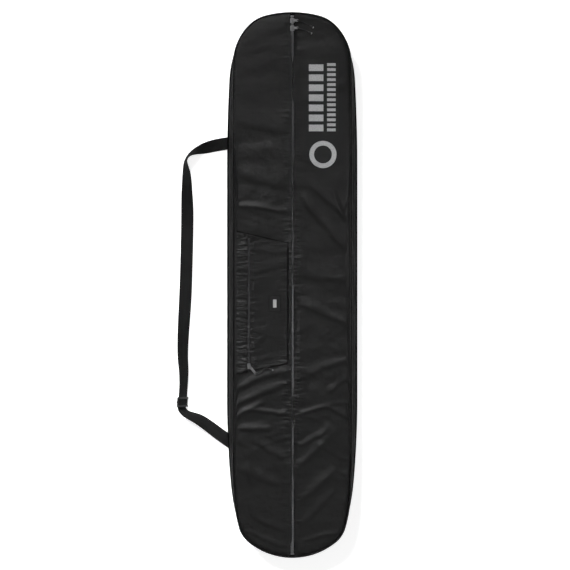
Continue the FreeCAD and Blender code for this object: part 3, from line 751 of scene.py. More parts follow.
# %% The strap's route
STRAP_WIDTH, STRAP_THICK = 0.038, 0.002
LONG_ROUTE = (
    (-0.1935, 0.4340, 0, 0.002), (-0.228, 0.429, 8, 0), (-0.262, 0.420, 28, 0),
    (-0.291, 0.411, 60, 0), (-0.313, 0.400, 84, 0), (-0.325, 0.385, 88, 0), (-0.326, 0.367, 72, 0),
    (-0.323, 0.345, 55, 0), (-0.322, 0.317, 43, 0), (-0.322, 0.286, 34, 0), (-0.321, 0.241, 15, 0),
    (-0.321, 0.196, 2, 0), (-0.322, 0.137, 0, 0), (-0.324, 0.062, 0, 0), (-0.326, -0.015, 3, 0),
    (-0.330, -0.092, 16, 0.0005), (-0.334, -0.160, 29, 0.001), (-0.335, -0.222, 38, 0.002),
    (-0.331, -0.262, 44, 0.004),
)
SHORT_ROUTE = (
    (-0.332, -0.386, 57, 0.003), (-0.321, -0.396, 58, 0.001), (-0.304, -0.403, 48, 0),
    (-0.282, -0.413, 30, 0), (-0.256, -0.431, 20, 0), (-0.228, -0.453, 8, 0),
    (-0.1930, -0.4780, 0, 0.002), (-0.1790, -0.4880, 0, 0.002),
)
ADJUSTER_PLACE = Vector((-0.335, -0.357, 0.02076))
ADJUSTER_RUN = Vector((-0.06, -1.0, 0.0)).normalized()
ADJUSTER_ROLL = 52


def web_height(roll, lift):
    """Height of the middle of the webbing when one edge rests at the lift."""
    angle = np.radians(roll)
    return STRAP_WIDTH / 2 * abs(np.sin(angle)) + STRAP_THICK / 2 * abs(np.cos(angle)) + lift


def stations(route):
    return [(x, y, web_height(roll, lift), roll) for x, y, roll, lift in route]


def on_adjuster(distances, under=0.0):
    """Stations along the adjuster, one ply or none below the webbing that it grips."""
    turn = math.radians(ADJUSTER_ROLL)
    out = Vector((-ADJUSTER_RUN.y * math.sin(turn), ADJUSTER_RUN.x * math.sin(turn), math.cos(turn)))
    return [(*(ADJUSTER_PLACE + ADJUSTER_RUN * d - out * under), ADJUSTER_ROLL) for d in distances]


long_stations = stations(LONG_ROUTE) + on_adjuster((-0.058, -0.030, 0.0, 0.0146))
short_stations = on_adjuster((0.0045, 0.0130, 0.0204), 0.0023) + stations(SHORT_ROUTE)
print("stations", len(long_stations), len(short_stations))

# %% [markdown]
# The webbing is a ribbon nine points wide, its points set closer together towards the edges,
# and thickened afterwards. The short one is a stub of under six widths, too short to count as a
# cord.

# %% Weave the strap
ACROSS_SHARES = (0.5, 0.47, 0.36, 0.18, 0.0, -0.18, -0.36, -0.47, -0.5)
STRAP_STEP = 0.006


def webbing_strip(name, route, node):
    """A ribbon laid on a smoothed route; gives the piece, its middle line and its length."""
    line, length = smooth_route(route, STRAP_STEP)
    centre, roll = line[:, :3], np.radians(line[:, 3])[:, None]
    run = runs_of(centre)
    level = unit(np.cross((0, 0, 1), run))
    up = np.cross(run, level)
    across, out = level * np.cos(roll) - up * np.sin(roll), up * np.cos(roll) + level * np.sin(roll)
    sway = 0.0004 * (1 + ripple(centre, 22, 9)[:, None])
    rows = [centre + out * sway + across * STRAP_WIDTH * share for share in ACROSS_SHARES]
    strip = new_piece(name, laid_grid(np.stack(rows, axis=1)), WEBBING)
    thicken(strip, STRAP_THICK, 0.0)
    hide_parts(node)
    print(f"{name} {length:.3f} m")
    return strip, centre, length


long_strap, long_line, long_length = webbing_strip(
    "webbing_long", long_stations, "shoulder_strap_long")
short_strap, short_line, _ = webbing_strip(
    "webbing_short", short_stations, "shoulder_strap_short")
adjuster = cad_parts["strap_adjuster"]
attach(long_strap, "shell")
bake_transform(short_strap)

# %% [markdown]
# ## Walls, piping and binding
# The wall between back and front is one long strip of padded cloth that goes right round the
# bag. It leans inwards towards the front, and bulges a little between its two seams. Gathers
# run down from the upper seam where the cloth was eased in.

# %% Bend the wall round the bag
WALL_LEVELS = (
    (FRONT_HALF, 0.0042, 0.0718), (0.1836, 0.0026, 0.0680), (0.1858, 0.0016, 0.0610),
    (0.1884, 0.0012, 0.0520), (0.1908, 0.0010, 0.0420), (0.1932, 0.0010, 0.0310),
    (0.1950, 0.0012, 0.0200), (0.1962, 0.0020, 0.0110), (BACK_HALF, 0.0034, 0.0050),
)
ROUND_COUNT = 640
WALL_THICK = 0.006


def level_line(half, inset, level):
    """The outline at one height, as closely spaced points."""
    loop = outline(half, inset, ROUND_COUNT)
    return np.column_stack([loop, np.full(len(loop), level)])


def wall_rows():
    """One closed line for each level, bulged and gathered between the two seams."""
    rows = []
    for half, inset, level in WALL_LEVELS:
        line = level_line(half, inset, level)
        out = unit(np.cross((0, 0, 1), runs_of(line, True)))
        free = ease((level - 0.004) / 0.015) * ease((0.0725 - level) / 0.006)
        slow = ripple(line * (1, 1, 0.5), 11, 3) + 0.6 * ripple(line, 24, 4)
        gathers = ripple(line * (1, 1, 0.15), 85, 5) * ease((level - 0.030) / 0.04)
        line = line + out * (free * (0.0010 * slow + 0.0005 * gathers))[:, None]
        rows.append(np.vstack([line, line[:1]]))
    return rows


wall = new_piece("padded_wall", laid_grid(wall_rows()), WALL_CLOTH, "shell")
mark(wall, "gather", 0.5 * ease((points_of(wall)[:, 2] - 0.025) / 0.04))
thicken(wall, WALL_THICK)
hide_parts("side_wall_left", "side_wall_right", "nose_wall", "tail_wall")
print("wall faces", len(wall.data.polygons))

# %% [markdown]
# The front seam is piped: a cord wrapped in cloth and caught in the stitching, which keeps the
# edge round and takes the rubbing. The back seam is bound with a folded tape.

# %% Piping and binding
PIPING_RADIUS, BINDING_RADIUS = 0.0027, 0.0035


def round_the_bag(half, inset, level, wander, seed):
    """The line of a seam right round, wandering a little as a sewn one does."""
    line = level_line(half, inset, level)
    out = np.cross((0, 0, 1), runs_of(line, True))
    return line + out * (wander * ripple(line, 16, seed))[:, None]


def edging(name, line, radius, cloth, node):
    piece = new_piece(name, tube(line, radius, 8, True), cloth, "shell")
    soften(piece)
    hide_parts(node)


edging("front_seam_piping", round_the_bag(FRONT_HALF, 0.0030, 0.0723, 0.0004, 6),
       PIPING_RADIUS, PIPING_CLOTH, "front_piping")
edging("back_seam_binding", round_the_bag(BACK_HALF, 0.0012, BINDING_RADIUS, 0.0, 7),
       BINDING_RADIUS, BINDING_TAPE, "back_binding")
print("piping radius", PIPING_RADIUS)

# %% [markdown]
# ## The back
# The back is never seen from above, but the bag is turned over in use. Its outside is plain
# cloth, and its inside is a quilted pad: foam under a lining, stitched across in channels.

# %% Back cloth and its quilted pad
def whole_panel(half_width, inset, pitch):
    """Both halves of a panel: one half cut to the outline, then mirrored."""
    bm = half_panel(1, 0.0, half_width, inset, pitch)
    for vert in bm.verts:
        if abs(vert.co.x) < 0.4 * pitch:
            vert.co.x = 0
    bmesh.ops.mirror(bm, geom=bm.verts[:] + bm.edges[:] + bm.faces[:], merge_dist=1e-4, axis="X")
    bmesh.ops.delete(bm, geom=[v for v in bm.verts if not v.link_faces], context="VERTS")
    middle = [v for v in bm.verts if abs(v.co.x) < 1e-6]
    for tip in side_line(half_width, inset)[[0, -1], 1]:
        min(middle, key=lambda v: abs(v.co.y - tip)).co.y = tip
    bmesh.ops.recalc_face_normals(bm, faces=bm.faces)
    return bm


def face_towards(piece, direction):
    """Turn an open sheet over if most of it faces the other way."""
    total = sum((face.normal * face.area for face in piece.data.polygons), Vector())
    if total.dot(Vector(direction)) < 0:
        piece.data.flip_normals()


QUILT_PITCH, QUILT_DEPTH, QUILT_REACH = 0.12, 0.0026, 0.006
CLOTH_THICK, FOAM_THICK = 0.0015, 0.0062
FOAM_PITCH = 0.008


def quilt(y):
    """Depth of sewn channels square to the bag's length."""
    phase = abs((y / QUILT_PITCH) % 1 - 0.5) * 2
    return QUILT_DEPTH * np.exp(-((1 - phase) * QUILT_PITCH / 2 / QUILT_REACH) ** 2)


def lay_flat(piece, rest, level, facing):
    """Set a sheet's height at each point, its UV map from its plan, and the way it faces."""
    move_points(piece, np.column_stack([rest[:, :2], level]))
    lay_uv(piece, rest[:, :2])
    face_towards(piece, (0, 0, facing))


back_cloth = new_piece("back_cloth", whole_panel(BACK_HALF, 0.0022, 0.010),
                       OUTER_CLOTH, "shell")
rest = points_of(back_cloth)
lay_flat(back_cloth, rest, 0.0002 + 0.0002 * ripple(rest, 14, 8), -1)
thicken(back_cloth, CLOTH_THICK)
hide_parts("back_panel")

BACK_PAD_INSET, BACK_PAD_TOP = 0.0115, 0.0112
back_pad = new_piece("quilted_back_pad", whole_panel(BACK_HALF, BACK_PAD_INSET, FOAM_PITCH),
                     LINING_CLOTH, "shell")
rest = points_of(back_pad)
edge = distance_to(outline(BACK_HALF, BACK_PAD_INSET, 1200), rest)
level = BACK_PAD_TOP - quilt(rest[:, 1]) - 0.003 * np.exp(-edge / 0.006) + 0.0003 * ripple(rest, 30, 9)
lay_flat(back_pad, rest, level, 1)
thicken(back_pad, FOAM_THICK)
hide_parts("back_padding", "back_lining")
print("back", len(back_cloth.data.vertices), len(back_pad.data.vertices))

# %% [markdown]
# ## The front cloth
# Both ends of the front stay sewn to the walls, and the long middle swings open. Each half, and
# everything sewn to it, such as tape, coil and stitches, has its place baked into its mesh, and a
# share from the sewn ends towards the middle is worked out at each point, which is not used further.

# %% The sewn ends of a piece
SEWN_NOSE, SEWN_TAIL = 0.757, -0.786


def sewn_ends(piece):
    """Bake a piece's place into its mesh and work out each point's share between its sewn ends and the
    middle.
    """
    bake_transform(piece)
    y = points_of(piece)[:, 1]
    share = ease((SEWN_NOSE - y) / (SEWN_NOSE - FLAP_NOSE_Y))
    share = share * ease((y - SEWN_TAIL) / (FLAP_TAIL_Y - SEWN_TAIL))


POCKET = {"left": -0.1725, "right": -0.0100, "zip": -0.131}
UNDER_POCKET = 0.0784
FRONT_INSET, FRONT_INNER = 0.0045, 0.004
ZIP_SEAM = 0.008


def pocket_edges(x):
    """Height up the bag of the pocket's upper and lower seams, which slant."""
    t = (np.asarray(x) - POCKET["left"]) / (POCKET["right"] - POCKET["left"])
    return 0.1645 - 0.037 * t, -0.2725 + 0.034 * t


def pocket_depth(points):
    """How far inside the pocket's seams each point is; negative outside."""
    top, bottom = pocket_edges(points[:, 0])
    inside = np.minimum(top - points[:, 1], points[:, 1] - bottom)
    return np.minimum(inside, np.minimum(points[:, 0] - POCKET["left"], POCKET["right"] - points[:, 0]))


def front_level(points, side):
    """Top of the padded front: tucked in at the seam, crowned, with a lip along the zip."""
    seam = distance_to(side_line(FRONT_HALF, FRONT_INSET) * (side, 1), points)
    lip = abs(points[:, 0]) - zip_edge(points[:, 1], side)
    level = 0.0720 + seam_crown(seam, 0.0050, 0.010)
    level += 0.0018 * np.exp(-(lip / 0.0035) ** 2) - 0.0017 * np.exp(-((lip - 0.0078) / 0.0030) ** 2)
    if side < 0:
        below = points[:, 1] - pocket_edges(points[:, 0])[1]
        calm = ease(seam / 0.02) * ease((lip - 0.011) / 0.008)
        level += 0.0013 * np.exp(-(below / 0.014) ** 2) * calm
    return level, seam, lip


print("pocket seams at the zip", [round(float(v), 4) for v in pocket_edges(POCKET["zip"])])

# %% [markdown]
# The steps are: cut the grid, give it the padded level, let it settle, press the larger folds
# in, gather it along the seams, and last keep it clear of the sliders above and the foam below.

# %% Sew in the two front panels
FRONT_PITCH = 0.0056
SIDE_PUCKER, ZIP_PUCKER = 0.0021, 0.0020
LOWEST_AT_SEAM, LOWEST, HIGHEST, BESIDE_PULLER = 0.0712, 0.0736, 0.0840, 0.0750


def three_parts(kind, side_name):
    """Names of the nose, middle and tail solids that one long piece stands for."""
    return [f"{kind}_{part}{side_name}" for part in ("nose_", "", "tail_")]


def front_cloth(side_name):
    side = SIDES[side_name]
    bm = half_panel(side, FRONT_INNER, FRONT_HALF, FRONT_INSET, FRONT_PITCH)
    cloth = PRINTED_CLOTH if side > 0 else OUTER_CLOTH
    piece = new_piece(f"front_cloth_{side_name}", bm, cloth)
    rest = points_of(piece)
    opening = zip_edge(rest[:, 1], side)
    rest[:, 0] += side * (opening - FRONT_INNER) * ease(1 - (abs(rest[:, 0]) - FRONT_INNER) / 0.024)
    inner = abs(rest[:, 0]) < opening + 0.0001
    for end in (1, -1):
        extreme = np.flatnonzero(inner)[(end * rest[inner, 1]).argmax()]
        rest[extreme, 1] = end * (TIP - FRONT_INSET)
    level, seam, lip = front_level(rest, side)
    near_puller = ease((rest[:, 1] - 0.665) / 0.085) if side > 0 else 0 * seam
    under_pocket = ease((pocket_depth(rest) + 0.010) / 0.010) if side < 0 else 0 * seam
    move_points(piece, np.column_stack([rest[:, :2], level]))
    face_towards(piece, (0, 0, 1))
    held = (seam < 0.002) | (lip < 0.011) | (near_puller > 0) | (under_pocket > 0)
    settle(piece, held, slack=0.03, cap=0.005)
    found = points_of(piece)
    open_cloth = ease(seam / 0.008) * ease((lip - 0.004) / 0.010) * (1 - near_puller)
    open_cloth = open_cloth * (1 - under_pocket)
    folds = fold_heights(rest, LEFT_FOLDS if side < 0 else RIGHT_FOLDS)
    folds += creases(rest, side, -0.45 * side, 31) + 0.8 * creases(rest, side, 0.5 * side, 37)
    gathers = seam_puckers(rest, seam, SIDE_PUCKER, 11)
    gathers += seam_puckers(rest, abs(lip - ZIP_SEAM), ZIP_PUCKER, 13)
    slow = 0.0020 * ripple(rest, 7, 15) + 0.0014 * ripple(rest, 20, 16)
    slow += 0.0016 * ripple(rest * (0.4, 1, 1), 28, 19)
    slow *= 1 - 0.5 * ease((rest[:, 1] - 0.3) / 0.2)
    found[:, 2] += (folds + slow) * open_cloth + gathers * (1 - near_puller)
    ceiling = HIGHEST - (HIGHEST - BESIDE_PULLER) * near_puller * ease((lip - 0.001) / 0.004)
    ceiling = np.where(under_pocket > 0, UNDER_POCKET, ceiling)
    found[:, 2] = np.clip(found[:, 2], np.where(seam < 0.004, LOWEST_AT_SEAM, LOWEST), ceiling)
    move_points(piece, found)
    lay_uv(piece, rest[:, :2])
    mark(piece, "gather", seam_share(rest, seam) + 0.9 * seam_share(rest, abs(lip - ZIP_SEAM)))
    sewn_ends(piece)
    thicken(piece, CLOTH_THICK)
    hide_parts(*three_parts("front_panel", side_name))
    print(piece.name, len(piece.data.vertices), "points, top", round(float(found[:, 2].max()), 4))
    return piece


front = {name: front_cloth(name) for name in SIDES}

# %% [markdown]
# Under each half of the front lies its own pad, a few millimetres short of the seams so that it
# can fold. Its underside is the quilted lining that shows when the bag stands open. The foam's
# thickness is worked into the mesh before its sewn ends are worked out, as for the cloth.

# %% Pads under the front
PAD_INNER, PAD_INSET = 0.021, 0.0165


def front_pad(side_name):
    side = SIDES[side_name]
    bm = half_panel(side, PAD_INNER, FRONT_HALF, PAD_INSET, FOAM_PITCH)
    piece = new_piece(f"quilted_front_pad_{side_name}", bm, LINING_CLOTH)
    rest = points_of(piece)
    seam = distance_to(side_line(FRONT_HALF, PAD_INSET) * (side, 1), rest)
    edge = np.minimum(seam, abs(rest[:, 0]) - PAD_INNER)
    level = LINING_UNDER + quilt(rest[:, 1]) + 0.003 * np.exp(-edge / 0.006)
    lay_flat(piece, rest, level + 0.0003 * ripple(rest, 30, 17), -1)
    thicken(piece, FOAM_THICK)
    applied(piece)
    sewn_ends(piece)
    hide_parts(*three_parts("front_padding", side_name), f"front_lining_{side_name}")
    return piece


front_pads = [front_pad(name) for name in SIDES]
print("pads", [len(p.data.vertices) for p in front_pads])

# %% [markdown]
# ## Zips
# A coil zip is two tapes, each with a nylon spiral sewn to its edge. Seen from a metre away a
# spiral turn is a rounded bar across the tape, so each turn is one bevelled bar, repeated with an
# array. The turns of one side stand half a pitch from the other's, so that they mesh.

# %% Tapes and coils
def zip_side(name, side, centre, inner, outer, tape_levels, coil_levels, reach, ends,
             pitch=0.0024, nylon=COIL_NYLON):
    """One half of a zip: a strip of tape and its row of turns, as two pieces.

    Each pair is from and to: levels are heights, reach is across the coil, ends is along it.
    """
    low, high = ends
    y = np.linspace(low, high, max(2, round((high - low) / 0.008)))
    offsets = np.linspace(outer, inner, 5) if side > 0 else -np.linspace(inner, outer, 5)
    level = np.full_like(y, tape_levels[1])
    rows = [np.column_stack([np.full_like(y, centre + x), y, level]) for x in offsets]
    tape = new_piece(f"{name}_tape", laid_grid(np.stack(rows, axis=1)), ZIP_TAPE)
    face_towards(tape, (0, 0, 1))
    thicken(tape, tape_levels[1] - tape_levels[0], -1.0, 0)

    bm = bmesh.new()
    bmesh.ops.create_cube(bm, size=1)
    wide = reach[1] - reach[0]
    bmesh.ops.scale(bm, vec=(wide, pitch * 0.42, coil_levels[1] - coil_levels[0]), verts=bm.verts)
    start = low + pitch * (0.25 if side > 0 else 0.75)
    middle = Vector((centre + side * (reach[0] + wide / 2), start, sum(coil_levels) / 2))
    bmesh.ops.translate(bm, vec=middle, verts=bm.verts)
    long_edges = [e for e in bm.edges if abs((e.verts[0].co - e.verts[1].co).y) < 1e-6]
    bmesh.ops.bevel(bm, geom=long_edges, offset=pitch * 0.18, affect="EDGES", segments=2,
                    profile=0.5, material=-1)
    coil = new_piece(f"{name}_coil", bm, nylon)
    turns = coil.modifiers.new("turns", "ARRAY")
    turns.count = int((high - low) / pitch)
    turns.use_relative_offset = False
    turns.use_constant_offset = True
    turns.constant_offset_displace = (0, pitch, 0)
    applied(coil)
    return tape, coil


def main_zip(side_name):
    halves = zip_side(f"main_zip_{side_name}", SIDES[side_name], 0.0, 0.0012, 0.016, (0.0712, 0.0720),
                      (0.0720, 0.0749), (-0.0004, 0.0051), (-0.8095, 0.8095))
    for piece, kind in zip(halves, ("tape", "coil")):
        sewn_ends(piece)
        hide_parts(*three_parts(f"main_zip_{kind}", side_name))
        print(piece.name, len(piece.data.polygons), "faces")


for name in SIDES:
    main_zip(name)

# %% [markdown]
# ## The pocket
# The pocket is a panel of the same cloth sewn over the left half, with slanted seams at top and
# bottom and a long zip let into it. The panel is laid in two parts, one each side of the zip, and
# their edges turn in towards the coil.

# %% Pocket cloth
ZIP_GAP, STITCHED_AT = 0.0036, 0.0045
POCKET_CROWN, POCKET_THICK = 0.0817, 0.0012
POCKET_CUT_FROM = (0.31, 0.17)
LABEL_PLACE = (-0.053, -0.056)
POCKET_ZIP_ENDS = (-0.2525, 0.1415)
POCKET_FOLDS = (
    ((-120, -238), (-20, -214), 1.6, 9), ((-122, -130), (-20, -168), 1.2, 14),
    ((-120, 40), (-16, 70), 1.2, 16), ((-118, 110), (-20, 96), 1.4, 12),
    ((-168, -60), (-138, -90), 0.8, 10), ((-110, -190), (-60, -120), 1.0, 12),
)


def pocket_level(points):
    """Height of the pocket's cloth: up from its seams, down again at the zip and the label."""
    x = points[:, 0]
    top, bottom = pocket_edges(x)
    from_left, from_right = np.maximum(x - POCKET["left"], 0), np.maximum(POCKET["right"] - x, 0)
    below_top, above_bottom = np.maximum(top - points[:, 1], 0), np.maximum(points[:, 1] - bottom, 0)
    inside = np.maximum(pocket_depth(points), 0)
    from_zip = ease((abs(x - POCKET["zip"]) - 0.010) / 0.03)
    under, _, _ = front_level(points, -1)
    level = np.minimum(under, UNDER_POCKET) + 0.0008
    rise = (1 - np.exp(-from_left / 0.0075)) * (1 - np.exp(-from_right / 0.016))
    rise *= 1 - np.exp(-below_top / (0.0065 + 0.0155 * from_zip))
    rise *= 1 - np.exp(-above_bottom / (0.0065 + 0.0110 * from_zip))
    level += (POCKET_CROWN - level) * rise
    level -= 0.0007 * np.exp(-((below_top - 0.003) / 0.0025) ** 2)
    fold = fold_heights(points, POCKET_FOLDS) + 0.0004 * ripple(points, 14, 21)
    fold += 0.0006 * ripple(points, 50, 27) * ease((POCKET["zip"] - 0.006 - x) / 0.006)
    from_label = np.maximum(abs(points[:, :2] - LABEL_PLACE) - (0.018, 0.026), 0)
    label = np.hypot(*from_label.T)
    zip_gap = abs(x - POCKET["zip"]) - ZIP_GAP
    calm = ease(label / 0.014) * ease(inside / 0.006) * ease((zip_gap - 0.002) / 0.008)
    level += np.clip(fold, -0.0012, 0.0009) * calm
    level -= 0.0006 * np.exp(-((zip_gap - STITCHED_AT) / 0.002) ** 2)
    gathers = seam_puckers(points, inside, 0.0012, 23)
    gathers += seam_puckers(points, abs(zip_gap - STITCHED_AT), 0.0012, 25)
    return level + gathers * ease(label / 0.01)


def pocket_part(low_x, high_x, slit_on_right):
    """Rows of points from the lower seam to the upper one, its zip edge closing at both ends."""
    rows = []
    for share in np.linspace(0, 1, max(3, round((high_x - low_x) / 0.0052))):
        x = low_x + (high_x - low_x) * share
        top, bottom = pocket_edges(x)
        y = np.linspace(bottom, top, 82)
        closing = np.maximum(ease((y - POCKET_ZIP_ENDS[1]) / 0.007),
                             ease((POCKET_ZIP_ENDS[0] - y) / 0.007))
        pull = (ZIP_GAP - 0.0001) * closing * (share if slit_on_right else 1 - share) ** 2
        rows.append(np.column_stack([x + pull * (1 if slit_on_right else -1), y, 0 * y]))
    return np.stack(rows)


def make_pocket():
    left = pocket_part(POCKET["left"], POCKET["zip"] - ZIP_GAP, True)
    right = pocket_part(POCKET["zip"] + ZIP_GAP, POCKET["right"], False)
    bm = laid_grid(left)
    mesh = bpy.data.meshes.new("part")
    other = laid_grid(right)
    other.to_mesh(mesh)
    other.free()
    bm.from_mesh(mesh)
    bpy.data.meshes.remove(mesh)
    piece = new_piece("pocket_cloth", bm, OUTER_CLOTH, "left_flap")
    rest = points_of(piece)
    move_points(piece, np.column_stack([rest[:, :2], pocket_level(rest)]))
    lay_uv(piece, rest[:, :2] + POCKET_CUT_FROM)
    zip_gap = abs(rest[:, 0] - POCKET["zip"]) - ZIP_GAP
    left_strip = (rest[:, 0] < POCKET["zip"]) * 0.25
    beside_seams = seam_share(rest, pocket_depth(rest)) + seam_share(rest, abs(zip_gap - 0.004))
    mark(piece, "gather", beside_seams + left_strip)
    face_towards(piece, (0, 0, 1))
    thicken(piece, POCKET_THICK)
    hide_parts("pocket_panel")
    return piece


def rolled_edge():
    """A thin rolled hem along the pocket's upper seam, pressed half into the cloth."""
    x = np.linspace(POCKET["left"] + 0.002, POCKET["right"] - 0.001, 90)
    line = np.column_stack([x, pocket_edges(x)[0] - 0.0012, 0 * x])
    line[:, 2] = pocket_level(line) + 0.0004
    piece = new_piece("pocket_rolled_hem", tube(line, 0.0009, 8), BINDING_TAPE, "left_flap")
    soften(piece)


pocket = make_pocket()
rolled_edge()
for name, side in SIDES.items():
    halves = zip_side(f"pocket_zip_{name}", side, POCKET["zip"], 0.0008, 0.0110, (0.0794, 0.0800),
                      (0.0800, 0.0818), (-0.0003, 0.0036), POCKET_ZIP_ENDS, 0.0020, POCKET_COIL)
    for piece, kind in zip(halves, ("tape", "coil")):
        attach(piece, "left_flap")
        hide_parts(f"pocket_zip_{kind}_{name}")
print("pocket points", len(pocket.data.vertices))

# %% [markdown]
# The patch on the pocket is moulded rubber: a plate with a raised rim round a sunk field. It
# carries no words, only a plain field with one pale bar.

# %% Rubber patch
def rounded_plate(low, high, corner, steps=4):
    """Flat plate with rounded corners, from one quad whose corners are bevelled."""
    bm = bmesh.new()
    bmesh.ops.create_grid(bm, x_segments=1, y_segments=1, size=0.5)
    bmesh.ops.scale(bm, vec=(high[0] - low[0], high[1] - low[1], 1), verts=bm.verts)
    middle = (low[0] + high[0]) / 2, (low[1] + high[1]) / 2, low[2]
    bmesh.ops.translate(bm, vec=middle, verts=bm.verts)
    bmesh.ops.bevel(bm, geom=bm.verts[:], offset=corner, affect="VERTICES", segments=steps,
                    profile=0.5, material=-1)
    return bm


def make_patch():
    low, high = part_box("label_patch")
    bm = rounded_plate(low, high, 0.003)
    grown = bmesh.ops.extrude_face_region(bm, geom=bm.faces[:])["geom"]
    raised = [g for g in grown if isinstance(g, bmesh.types.BMVert)]
    bmesh.ops.translate(bm, vec=(0, 0, high[2] - low[2]), verts=raised)
    bmesh.ops.recalc_face_normals(bm, faces=bm.faces)
    top = max(bm.faces, key=lambda f: f.calc_center_median().z)
    bmesh.ops.bevel(bm, geom=list(top.edges), offset=0.0004, affect="EDGES", segments=2,
                    profile=0.5, material=-1)
    top = max(bm.faces, key=lambda f: (f.calc_center_median().z, f.calc_area()))
    bmesh.ops.inset_region(bm, faces=[top], thickness=0.0022, depth=0.0)
    bmesh.ops.inset_region(bm, faces=[top], thickness=0.0003, depth=-0.0004)
    piece = new_piece("rubber_patch", bm, PATCH_RUBBER, "left_flap")
    piece.data.shade_flat()
    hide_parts("label_patch")
    return piece


def marked_rubber():
    """The patch's rubber: a dark rim, a slightly paler field and one plain bar in the print's grey."""
    material = PATCH_RUBBER.copy()
    material.name = "marked patch rubber"
    tree = material.node_tree
    shader = tree.nodes["Principled BSDF"]
    place = next(n for n in tree.nodes if n.type == "TEX_COORD").outputs["Object"]
    split = add(tree, "ShaderNodeSeparateXYZ", {0: place}).outputs
    colour = shader.inputs["Base Color"].links[0].from_socket
    for half_wide, half_long, tone in ((0.0158, 0.0228, 0.011), (0.0052, 0.0120, 0.36)):
        wide, long = [between(tree, split[k], LABEL_PLACE[k] - half, LABEL_PLACE[k] + half)
                      for k, half in enumerate((half_wide, half_long))]
        mix = {0: math_node(tree, "MULTIPLY", wide, long), 6: colour, 7: grey(tone)}
        colour = add(tree, "ShaderNodeMix", mix, data_type="RGBA").outputs[2]
    tree.links.new(colour, shader.inputs["Base Color"])
    return material


patch = make_patch()
patch.material_slots[0].material = marked_rubber()
print("patch faces", len(patch.data.polygons))

# %% [markdown]
# ## Pullers
# Each metal tab carries a puller: a short loop of braided cord, knotted at the tab, with a
# moulded tip. The cord lies on the cloth beside the zip. The radius changes along the line, so
# one swept tube makes the knot and the cord, and another makes the tip. A short pale grey cap on
# the tip's end is a painted highlight.

# %% Tie on the pullers
TIP_LENGTH, TIP_LAP = 0.010, 0.0045
# Pale grey for the cap on each puller tip: a painted highlight on the moulded end.
PAINTED_HIGHLIGHT_TIP = hard_material("painted highlight rubber", (0.30, 0.30, 0.305), 0.5, 1400.0, 0.00006)


def puller(name, hole, steps, level, body):
    """A knot, a cord along some steps from the tab's hole, and a tip whose pale grey end cap is a
    painted highlight.
    """
    hole = np.array(hole)
    controls = [(*hole[:2], hole[2] + 0.0010)]
    for k, step in enumerate(steps):
        spot = hole[:2] + np.array(step) * MM
        controls.append((*spot, level if k else (level + hole[2]) / 2))
    line, length = smooth_route(controls, 0.0009)
    gone = np.linspace(0, length, len(line))
    knot = 0.0013 * np.exp(-((gone - 0.0032) / 0.0020) ** 2) * (1 + 0.25 * np.sin(gone / 0.00045))
    radii = (0.0013 + knot + 0.00008 * np.sin(gone / 0.0003)) * ease(gone / 0.0008)
    cord_part = gone < length - TIP_LENGTH
    cord = new_piece(f"{name}_cord", tube(line[cord_part], radii[cord_part], 10),
                     BRAID, body)
    tip_part = gone > length - TIP_LENGTH - TIP_LAP
    share = np.linspace(0, 1, tip_part.sum())
    shape = (0.0027 * np.minimum(1, 0.62 + 0.5 * share)
             * np.sqrt(np.clip(1 - (2 * share - 1) ** 10, 0, 1)))
    tip = new_piece(f"{name}_tip", tube(line[tip_part], shape, 12), MOULDED_NYLON, body)
    # The pale grey cap at the tip's end is a painted highlight, not a pale part.
    end, run = line[-1], runs_of(line)[-1]
    highlight_line = end + np.linspace(-0.0030, 0.0006, 8)[:, None] * run
    highlight_shape = 0.0026 * np.sqrt(np.clip(1 - np.linspace(-1, 1, 8) ** 4, 0, 1)) + 0.00018
    highlight_shape[[0, -1]] = 0
    dot = new_piece(f"{name}_dot", tube(highlight_line, highlight_shape, 12), PAINTED_HIGHLIGHT_TIP, body)
    for piece in (cord, tip, dot):
        soften(piece)
    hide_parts(name)
    print(f"{name} {length:.3f} m")


puller("main_puller_upper", (0.0155, 0.7985, 0.0799),
       ((9, -2), (24, -7.7), (48.5, -22)), 0.0781, "upper_pull")
puller("main_puller_lower", (0.0155, 0.7755, 0.0799),
       ((9, -2), (24, -5.9), (43.5, -17)), 0.0781, "lower_pull")
puller("pocket_puller", (-0.1114, -0.2656, 0.0875),
       ((12, 4), (26, 14), (40, 17), (53, 8)), 0.0863, "pocket_pull")

# %% [markdown]
# ## Stitches
# Rows of stitches hold the zips, the pocket and the patch. Each stitch is a small flattened
# capsule of thread that dips into the cloth at both ends. It's placed by dropping a ray onto the
# finished cloth, so that it follows every pucker, and is turned to lie in the surface.

# %% A stitch and a way to lay rows of them
def stitch_shape(length=0.0034, width=0.0007):
    bm = bmesh.new()
    bmesh.ops.create_uvsphere(bm, u_segments=6, v_segments=5, radius=0.5)
    bmesh.ops.rotate(bm, verts=bm.verts, matrix=Matrix.Rotation(math.pi / 2, 3, "Y"))
    bmesh.ops.scale(bm, vec=(length, width, width * 0.7), verts=bm.verts)
    mesh = bpy.data.meshes.new("stitch")
    bm.to_mesh(mesh)
    bm.free()
    return mesh


def surface_of(piece):
    scene.view_layers[0].update()
    return BVHTree.FromObject(piece, bpy.context.evaluated_depsgraph_get())


def every(line, pitch):
    """Places and headings along a line at an even pitch."""
    line = np.asarray(line, float)
    gone = np.concatenate([[0], np.cumsum(np.hypot(*np.diff(line, axis=0).T))])
    places = np.arange(pitch / 2, gone[-1], pitch)
    spots = np.column_stack([np.interp(places, gone, line[:, k]) for k in (0, 1)])
    runs = unit(np.column_stack([np.interp(places + 1e-4, gone, line[:, k]) for k in (0, 1)]) - spots)
    return list(zip(spots, runs))


